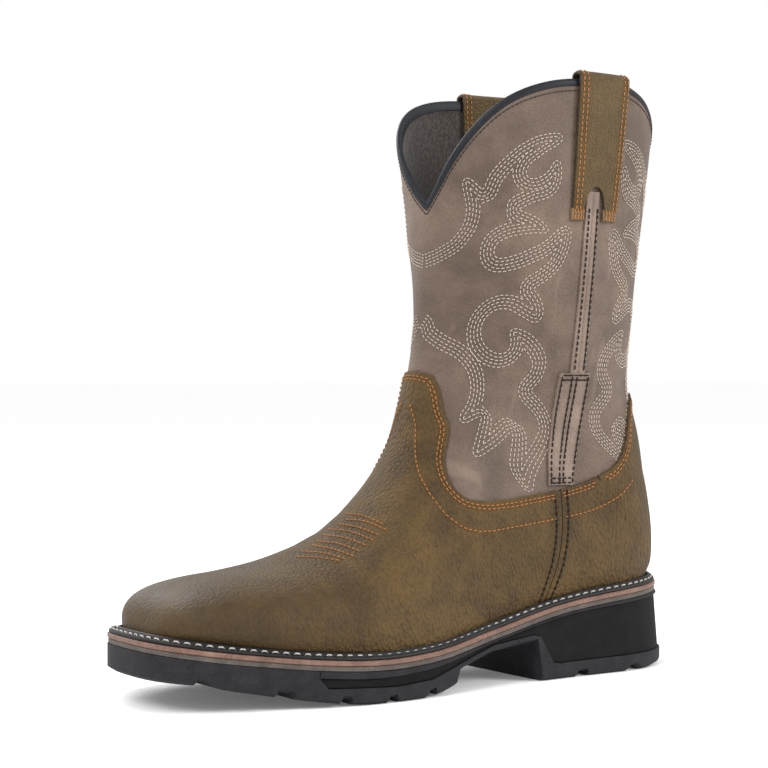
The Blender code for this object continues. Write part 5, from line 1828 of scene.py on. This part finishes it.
    def outsole(self) -> None:
        """The rubber outsole: tread, chamfer and side wall as one closed skin."""
        inset, chamfer = 0.0025, 0.0016
        count = 420
        across = np.linspace(-1, 1, 71)
        x, lateral, medial = sole_plan(1.0, -inset, 1.0, None, count)
        centre = (lateral - medial) / 2
        half = (lateral + medial) / 2
        y = centre[:, None] + half[:, None] * across[None, :]
        groove = self.groove(x[:, None], y - centre[:, None], half[:, None])
        fade = bump_step(self.outsole_head(x) - self.tread_foot(x), 0.002, 0.005)
        z = self.tread_foot(x)[:, None] + groove * fade[:, None]
        floor = np.stack([np.repeat(x[:, None], y.shape[1], axis=1), y, z], axis=-1)
        wall_x, wall_l, wall_m = sole_plan(1.0, 0.0, 1.0, None, count)
        end_l, end_m = z[:, -1], z[:, 0]
        head = self.outsole_head(wall_x)
        side_l = [np.stack([wall_x, wall_l, np.minimum(end_l + chamfer, head - 0.0004)], axis=-1),
                  np.stack([wall_x, wall_l, head - 0.0003], axis=-1),
                  np.stack([wall_x, wall_l - 0.0003, head], axis=-1)]
        side_m = [np.stack([wall_x, -wall_m + 0.0003, head], axis=-1),
                  np.stack([wall_x, -wall_m, head - 0.0003], axis=-1),
                  np.stack([wall_x, -wall_m, np.minimum(end_m + chamfer, head - 0.0004)], axis=-1)]
        points = np.concatenate([floor, np.stack(side_l + side_m, axis=1)], axis=1)
        rows, columns = points.shape[:2]
        piece = build("outsole_rubber", points, grid_faces(rows, columns, around=True),
                      [self.finishes.rubber], sharp=0.6)
        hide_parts("outsole")


@dataclass
class Scroll:
    """The scroll of stitches on both panels of both sides of the shaft.

    The chart is kept flat, as the distance round from the outer side seam and
    the height, and is laid on the shaft row by row.
    """

    sewing: Sewing
    rows: int = 5
    spacing: float = 0.00170
    low: float = 0.088
    high: float = 0.300
    step: float = 0.002
    turned: float = 0.0033

    def __post_init__(self) -> None:
        """Lays out the shaft: its points by height and signed distance round."""
        heights = np.arange(self.low, self.high, self.step)
        around = np.linspace(1, -1, 181)
        at = LAST.at_height(around[None, :], heights[:, None], WALL_FACE, 3.5)
        sheet = LAST.surface(around[None, :], at, WALL_FACE)
        self.normal = outward(sheet)
        self.sheet = sheet + self.normal * RELIEF.height(sheet)[..., None]
        steps = np.linalg.norm(np.diff(self.sheet, axis=1), axis=2)
        run = np.concatenate([np.zeros((len(sheet), 1)), np.cumsum(steps, axis=1)], axis=1)
        self.girth = run - run[:, 90:91]
        seam = np.array([[-0.0700, 0.100], [-0.0762, 0.157], [-0.0792, 0.200], [-0.0850, 0.272]])
        seam_x = np.interp(heights, seam[:, 1], seam[:, 0])
        outer_half = np.abs(self.sheet[:, 100:, 0] - seam_x[:, None]).argmin(axis=1) + 100
        rough = self.girth[np.arange(len(heights)), outer_half]
        self.seam = np.polyval(np.polyfit(heights, rough, 5), heights)
        self.heights = heights

    def level(self, height: Array) -> tuple[Array, Array]:
        """Row under each height, and the part of the way to the next."""
        level = np.clip((height - self.low) / self.step, 0, len(self.heights) - 1.001)
        return level.astype(int), level - level.astype(int)

    def between(self, values: Array, height: Array) -> Array:
        """Rows of values, mixed at heights."""
        row, part = self.level(height)
        part = part.reshape(-1, *([1] * (values.ndim - 1)))
        return values[row] * (1 - part) + values[row + 1] * part

    def flat(self, points: Array) -> Array:
        """Distance round from the outer seam, and height, of points on the shaft."""
        lines = self.between(self.sheet, points[:, 2])
        girth = self.between(self.girth, points[:, 2])
        nearest = np.linalg.norm(lines - points[:, None], axis=2).argmin(axis=1)
        nearest = np.clip(nearest, 1, girth.shape[1] - 2)
        pick = np.arange(len(points))
        along = unit(lines[pick, nearest + 1] - lines[pick, nearest - 1])
        off = np.sum((points - lines[pick, nearest]) * along, axis=1)
        seam = self.between(self.seam, points[:, 2])
        return np.stack([girth[pick, nearest] + off - seam, points[:, 2]], axis=-1)

    def on_shaft(self, distance: Array, height: Array) -> tuple[Array, Array]:
        """Points and normals at signed distances round from the front, and heights."""
        girth = self.between(self.girth, height)
        column = np.clip((girth < distance[:, None]).sum(axis=1) - 1, 0, girth.shape[1] - 2)
        pick = np.arange(len(distance))
        width = girth[pick, column + 1] - girth[pick, column]
        share = np.clip((distance - girth[pick, column]) / width, 0, 1)[:, None]
        laid = []
        for source in (self.sheet, self.normal):
            lines = self.between(source, height)
            laid.append(lines[pick, column] * (1 - share) + lines[pick, column + 1] * share)
        return laid[0], unit(laid[1])

    def centre(self, height: Array) -> Array:
        """How far round the front centre stands to the outer side, by height."""
        return self.turned * np.clip((height - 0.158) / 0.086, 0, 1)

    def strands(self, path: Array) -> list[Array]:
        """Rows inside a path, each trimmed where it would come nearer the path
        than its own distance, so that rows meet in points."""
        strands = [path]
        along = unit(np.gradient(path, axis=0))
        inward = np.stack([along[:, 1], -along[:, 0]], axis=-1)
        coarse = path[::3]
        for row in range(1, self.rows):
            away = row * self.spacing
            moved = path + inward * away
            apart = np.sqrt(((moved[:, None, :] - coarse[None]) ** 2).sum(axis=2)).min(axis=1)
            front = self.centre(moved[:, 1]) - self.between(self.seam, moved[:, 1])
            whole = (apart > away - 0.00020) & (moved[:, 0] > front - 0.0002)
            breaks = np.flatnonzero(np.diff(np.concatenate([[0], whole.astype(int), [0]])))
            for start, end in zip(breaks[::2], breaks[1::2]):
                if end - start > 8:
                    strands.append(moved[start:end])
        return strands

    def build(self, skin: Skin) -> None:
        """Carries the chart onto the shaft and sews it four times."""
        pixels = np.array([point for stroke in SCROLL.values() for point in stroke], float)
        chart = self.flat(skin.seen(pixels)[0])
        ends = []
        for height in (chart[0, 1], chart[-1, 1] + 0.0012):
            level = np.array([height])
            ends.append([(self.centre(level) - self.between(self.seam, level))[0], height])
        chart = np.vstack([ends[0], chart, ends[1]])
        front = self.centre(chart[:, 1]) - self.between(self.seam, chart[:, 1])
        chart[:, 0] = np.maximum(chart[:, 0], front)
        apart = np.linalg.norm(np.diff(chart, axis=0), axis=1) > 0.0002
        chart = chart[np.concatenate([[True], apart])]
        strands = self.strands(smooth_line(chart, 0.0004))
        for side in Side:
            ahead, behind = [], []
            for strand in strands:
                distance, height = strand.T
                seam = self.between(self.seam, height)
                centre = self.centre(height)
                lean = centre * np.clip(-distance / seam, 0, 1) * (1 - side.value)
                front = self.on_shaft(side.value * (distance + seam) + lean, height)[0]
                ahead.append(skin.settle(front))
                total = self.between(self.girth, height)[:, -1]
                back = seam - distance * (total - seam) / (seam - centre)
                back = np.minimum(back, total - 0.0003)
                behind.append(skin.settle(self.on_shaft(side.value * back, height)[0]))
            name = side.name.lower()
            self.sewing.sew("scroll_front_" + name, ahead, CREAM)
            self.sewing.sew("scroll_back_" + name, behind, CREAM)


@dataclass
class Seams:
    """Rows of stitches along the edges of the brown leather and down the sides."""

    sewing: Sewing
    first: float = 0.0021
    second: float = 0.0038
    seam_row: float = 0.0036

    def beside(self, edge: Array, within: Array, skin: Skin, inside: float) -> list[tuple[Array, Array]]:
        """A row inside an edge, laid on the leather and trimmed at its corners.

        Args:
            edge: Points of the cut edge.
            within: A point inside the leather beside each of them.
            skin: The leather.
            inside: Distance from the edge.

        Returns:
            Each unbroken run of the row, as points and normals.
        """
        line = even_line(edge, 0.0008)
        run = run_along(edge)
        at = np.linspace(0, run[-1], len(line))
        toward = np.stack([np.interp(at, run, column) for column in (within - edge).T], axis=-1)
        normal = skin.settle(line)[1]
        away = unit(np.cross(normal, np.gradient(line, axis=0)))
        away = away * np.sign(np.sum(away * toward, axis=1, keepdims=True))
        row, normal = skin.settle(line + away * inside)
        apart = np.linalg.norm(row[:, None] - line[None], axis=2).min(axis=1)
        whole = apart > inside * 0.95
        breaks = np.flatnonzero(np.diff(np.concatenate([[0], whole.astype(int), [0]])))
        return [(row[start:end], normal[start:end])
                for start, end in zip(breaks[::2], breaks[1::2]) if end - start > 6]

    def brown(self, vamp: Array, vamp_skin: Skin, counter: Array, counter_skin: Skin) -> None:
        """Double orange rows under the cut edges, one lower row, and black seam rows."""
        orange, black = [], []
        edge, within = vamp[-1], vamp[-6]
        seam = int(np.argmin(np.abs(edge[: len(edge) // 2, 2] - 0.0972)
                             + (edge[: len(edge) // 2, 0] > -0.06)))
        top = slice(seam, len(edge) - seam)
        for inside in (self.first, self.second):
            orange += self.beside(edge[top], within[top], vamp_skin, inside)
        for side in Side:
            front, back = self.low_row(side)
            orange += [vamp_skin.settle(front), counter_skin.settle(back)]
        for part in (slice(0, seam), slice(len(edge) - seam, len(edge))):
            black += self.beside(edge[part], within[part], vamp_skin, self.seam_row)
        for column, inner in ((0, 4), (-1, -5)):
            edge, within = counter[:, column], counter[:, inner]
            seam = int(np.argmin(np.abs(edge[:, 2] - 0.0972)))
            for inside in (self.first, self.second):
                orange += self.beside(edge[seam:], within[seam:], counter_skin, inside)
            black += self.beside(edge[: seam + 1], within[: seam + 1], counter_skin, self.seam_row)
        self.sewing.sew("edge_stitches", orange, ORANGE)
        self.sewing.sew("seam_stitches", black, BLACK)

    def low_row(self, side: Side) -> tuple[Array, Array]:
        """The single row under the edge, ahead of the side seam and behind it."""
        front = np.array(list(LOW_ROW_FRONT.values())) * np.array([1.0, side.value, 1.0])
        front = smooth_line(front, 0.0008)
        side_x, side_z = smooth_line(np.array(list(LOW_ROW_SIDE.values())), 0.0008).T
        line = LAST.side_point(side_x, side_z, side, OVERLAY_OUTSIDE)
        ahead = side_x > -0.0665
        return np.vstack([front, line[ahead]]), line[side_x < -0.0705]

    def instep(self, skin: Skin) -> None:
        """Short orange rows across the flex of the foot."""
        rows = []
        for stroke in INSTEP_ROWS.values():
            seen = skin.seen(smooth_line(np.array(stroke), 2.0))[0]
            rows.append(skin.settle(smooth_line(seen, 0.0008)))
        self.sewing.sew("instep_stitches", rows, ORANGE)

    def bands(self, side: Side) -> None:
        """Black rows along the side strip and round the side patch."""
        rows = []
        for shares, table_rows, lift, low, high in (
                ((-0.72, 0.62), SEAM_STRIP, 0.0013, 0.1585, 0.2420),
                ((-0.88, -0.10, 0.22, 0.88), SEAM_PATCH, 0.0016, 0.1002, 0.1562)):
            centre, half, height = table(table_rows)
            z = np.arange(low, high, 0.0008)
            for share in shares:
                x = np.interp(z, height, centre) + np.interp(z, height, half) * share
                rows.append(self.on_side(x, z, side, WALL_FACE + lift))
        centre, half, height = table(SEAM_PATCH)
        for z in (0.1006, 0.1030, 0.1535, 0.1559):
            x = np.interp(z, height, centre) + np.interp(z, height, half) * np.linspace(-0.86, 0.86, 18)
            rows.append(self.on_side(x, np.full(len(x), z), side, WALL_FACE + 0.0016))
        self.sewing.sew("band_stitches_" + side.name.lower(), rows, BLACK)

    def on_side(self, x: Array, z: Array, side: Side, grow: float) -> tuple[Array, Array]:
        """A line on the side of the shaft, and its normals."""
        line = LAST.side_point(x, z, side, grow)
        beside = LAST.side_point(x + 0.0005, z, side, grow) - line
        above = LAST.side_point(x, z + 0.0005, side, grow) - line
        normal = unit(np.cross(beside, above))
        normal = normal * np.sign(normal[:, 1:2]) * side.value
        return line + normal * RELIEF.height(line)[:, None], normal

    def collar(self, outer: Array, skin: Skin) -> None:
        """A fine dark row under the collar's binding."""
        down = unit(outer[-4] - outer[-1])
        self.sewing.sew("collar_stitches", [skin.settle(even_line(outer[-1] + down * 0.0036, 0.0008))],
                        FINE_BLACK)


class Boot:
    """The whole boot, dressed in order."""

    def __init__(self) -> None:
        """Makes the finishes."""
        self.finishes = Finishes()
        self.sewing = Sewing(self.finishes)

    def build(self) -> None:
        """Builds every sub-assembly."""
        shaft = Shaft(self.finishes)
        shaft_skin = shaft.build()
        Collar(self.finishes).build(shaft.outer[-1], shaft.inner[-1])
        seams = Seams(self.sewing)
        vamp_skin, vamp = Vamp(self.finishes).build()
        counter_skin, counter = Counter(self.finishes).build()
        seams.brown(vamp, vamp_skin, counter, counter_skin)
        seams.instep(vamp_skin)
        seams.collar(shaft.outer, shaft_skin)
        strip = ((-1.0, 0.05), (-1.0, 1.0), (-0.8, 1.3), (-0.35, 1.35), (-0.12, 1.1), (0.0, 0.75),
                 (0.12, 1.15), (0.4, 1.45), (0.85, 1.3), (1.0, 1.0), (1.0, 0.05), (0.0, 0.05))
        patch = ((-1.0, 0.05), (-1.0, 1.3), (-0.9, 1.6), (-0.2, 1.65), (-0.06, 1.55), (0.05, 2.3),
                 (0.16, 1.6), (0.9, 1.6), (1.0, 1.3), (1.0, 0.05), (0.0, 0.05))
        strip = tuple((share, lift * 0.001) for share, lift in strip)
        patch = tuple((share, lift * 0.001) for share, lift in patch)
        for side in Side:
            name = side.name.lower()
            Band(self.finishes, side, SEAM_STRIP).folded("seam_fold_" + name, "seam_strip_" + name, strip, 70)
            Band(self.finishes, side, SEAM_PATCH).folded(
                "seam_panel_" + name, "seam_patch_" + name, patch, 50)
            Strap(self.finishes, self.sewing, side).build()
            StrapTabs(self.finishes, self.sewing, side).build()
            seams.bands(side)
        Welt(self.finishes, self.sewing).build()
        Sole(self.finishes).build()
        Scroll(self.sewing).build(shaft_skin)
        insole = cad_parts["insole"]
        insole.data.materials.clear()
        insole.data.materials.append(self.finishes.insole)


class Studio:
    """A pale floor and soft light round the boot."""

    def floor(self) -> None:
        """A wide pale floor."""
        size = 30.0
        mesh = bpy.data.meshes.new("floor")
        corners = [(-size, -size, 0.0), (size, -size, 0.0), (size, size, 0.0), (-size, size, 0.0)]
        mesh.from_pydata(corners, [], [(0, 1, 2, 3)])
        graph = Graph("floor_paper")
        tone = graph.noise(3.0, 2.0)
        graph.colour(graph.mix(tone, (0.86, 0.86, 0.86), (0.88, 0.88, 0.88)))
        graph.shine(0.8)
        graph.shader.inputs["Emission Color"].default_value = (1.0, 1.0, 1.0, 1.0)
        graph.shader.inputs["Emission Strength"].default_value = 0.10
        mesh.materials.append(graph.finish(specular=0.2))
        floor = bpy.data.objects.new("floor", mesh)
        bpy.context.scene.collection.objects.link(floor)

    def lamp(self, name: str, place: Row, aim: Row, size: float, power: float) -> None:
        """A square soft lamp that faces a point."""
        data = bpy.data.lights.new(name, "AREA")
        data.shape = "SQUARE"
        data.size = size
        data.energy = power
        lamp = bpy.data.objects.new(name, data)
        towards = unit(np.array(aim) - np.array(place))
        side = unit(np.cross(towards, [0.0, 0.0, 1.0]))
        up = np.cross(side, towards)
        matrix = Matrix([list(map(float, row)) for row in np.stack([side, up, -towards], axis=1)]).to_4x4()
        matrix.translation = place
        lamp.matrix_world = matrix
        bpy.context.scene.collection.objects.link(lamp)

    def build(self) -> None:
        """Floor, world and lamps."""
        self.floor()
        world = bpy.data.worlds.new("studio")
        world.use_nodes = True
        world.node_tree.nodes["Background"].inputs["Color"].default_value = (1.0, 1.0, 1.0, 1.0)
        world.node_tree.nodes["Background"].inputs["Strength"].default_value = 1.0
        bpy.context.scene.world = world
        bpy.context.scene.view_settings.view_transform = "Standard"
        self.lamp("key", (1.5, 0.45, 1.5), (0.0, 0.0, 0.12), 0.9, 24.0)
        self.lamp("side", (-1.2, 1.5, 1.0), (0.0, 0.0, 0.15), 0.8, 30.0)
        self.lamp("far", (0.2, -1.6, 1.3), (0.0, 0.0, 0.15), 0.9, 20.0)


def main() -> None:
    """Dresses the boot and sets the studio."""
    logging.basicConfig(level=logging.INFO, format="%(message)s")
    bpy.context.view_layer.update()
    CAMERA.make()
    Boot().build()
    Studio().build()


if __name__ == "__main__":
    main()
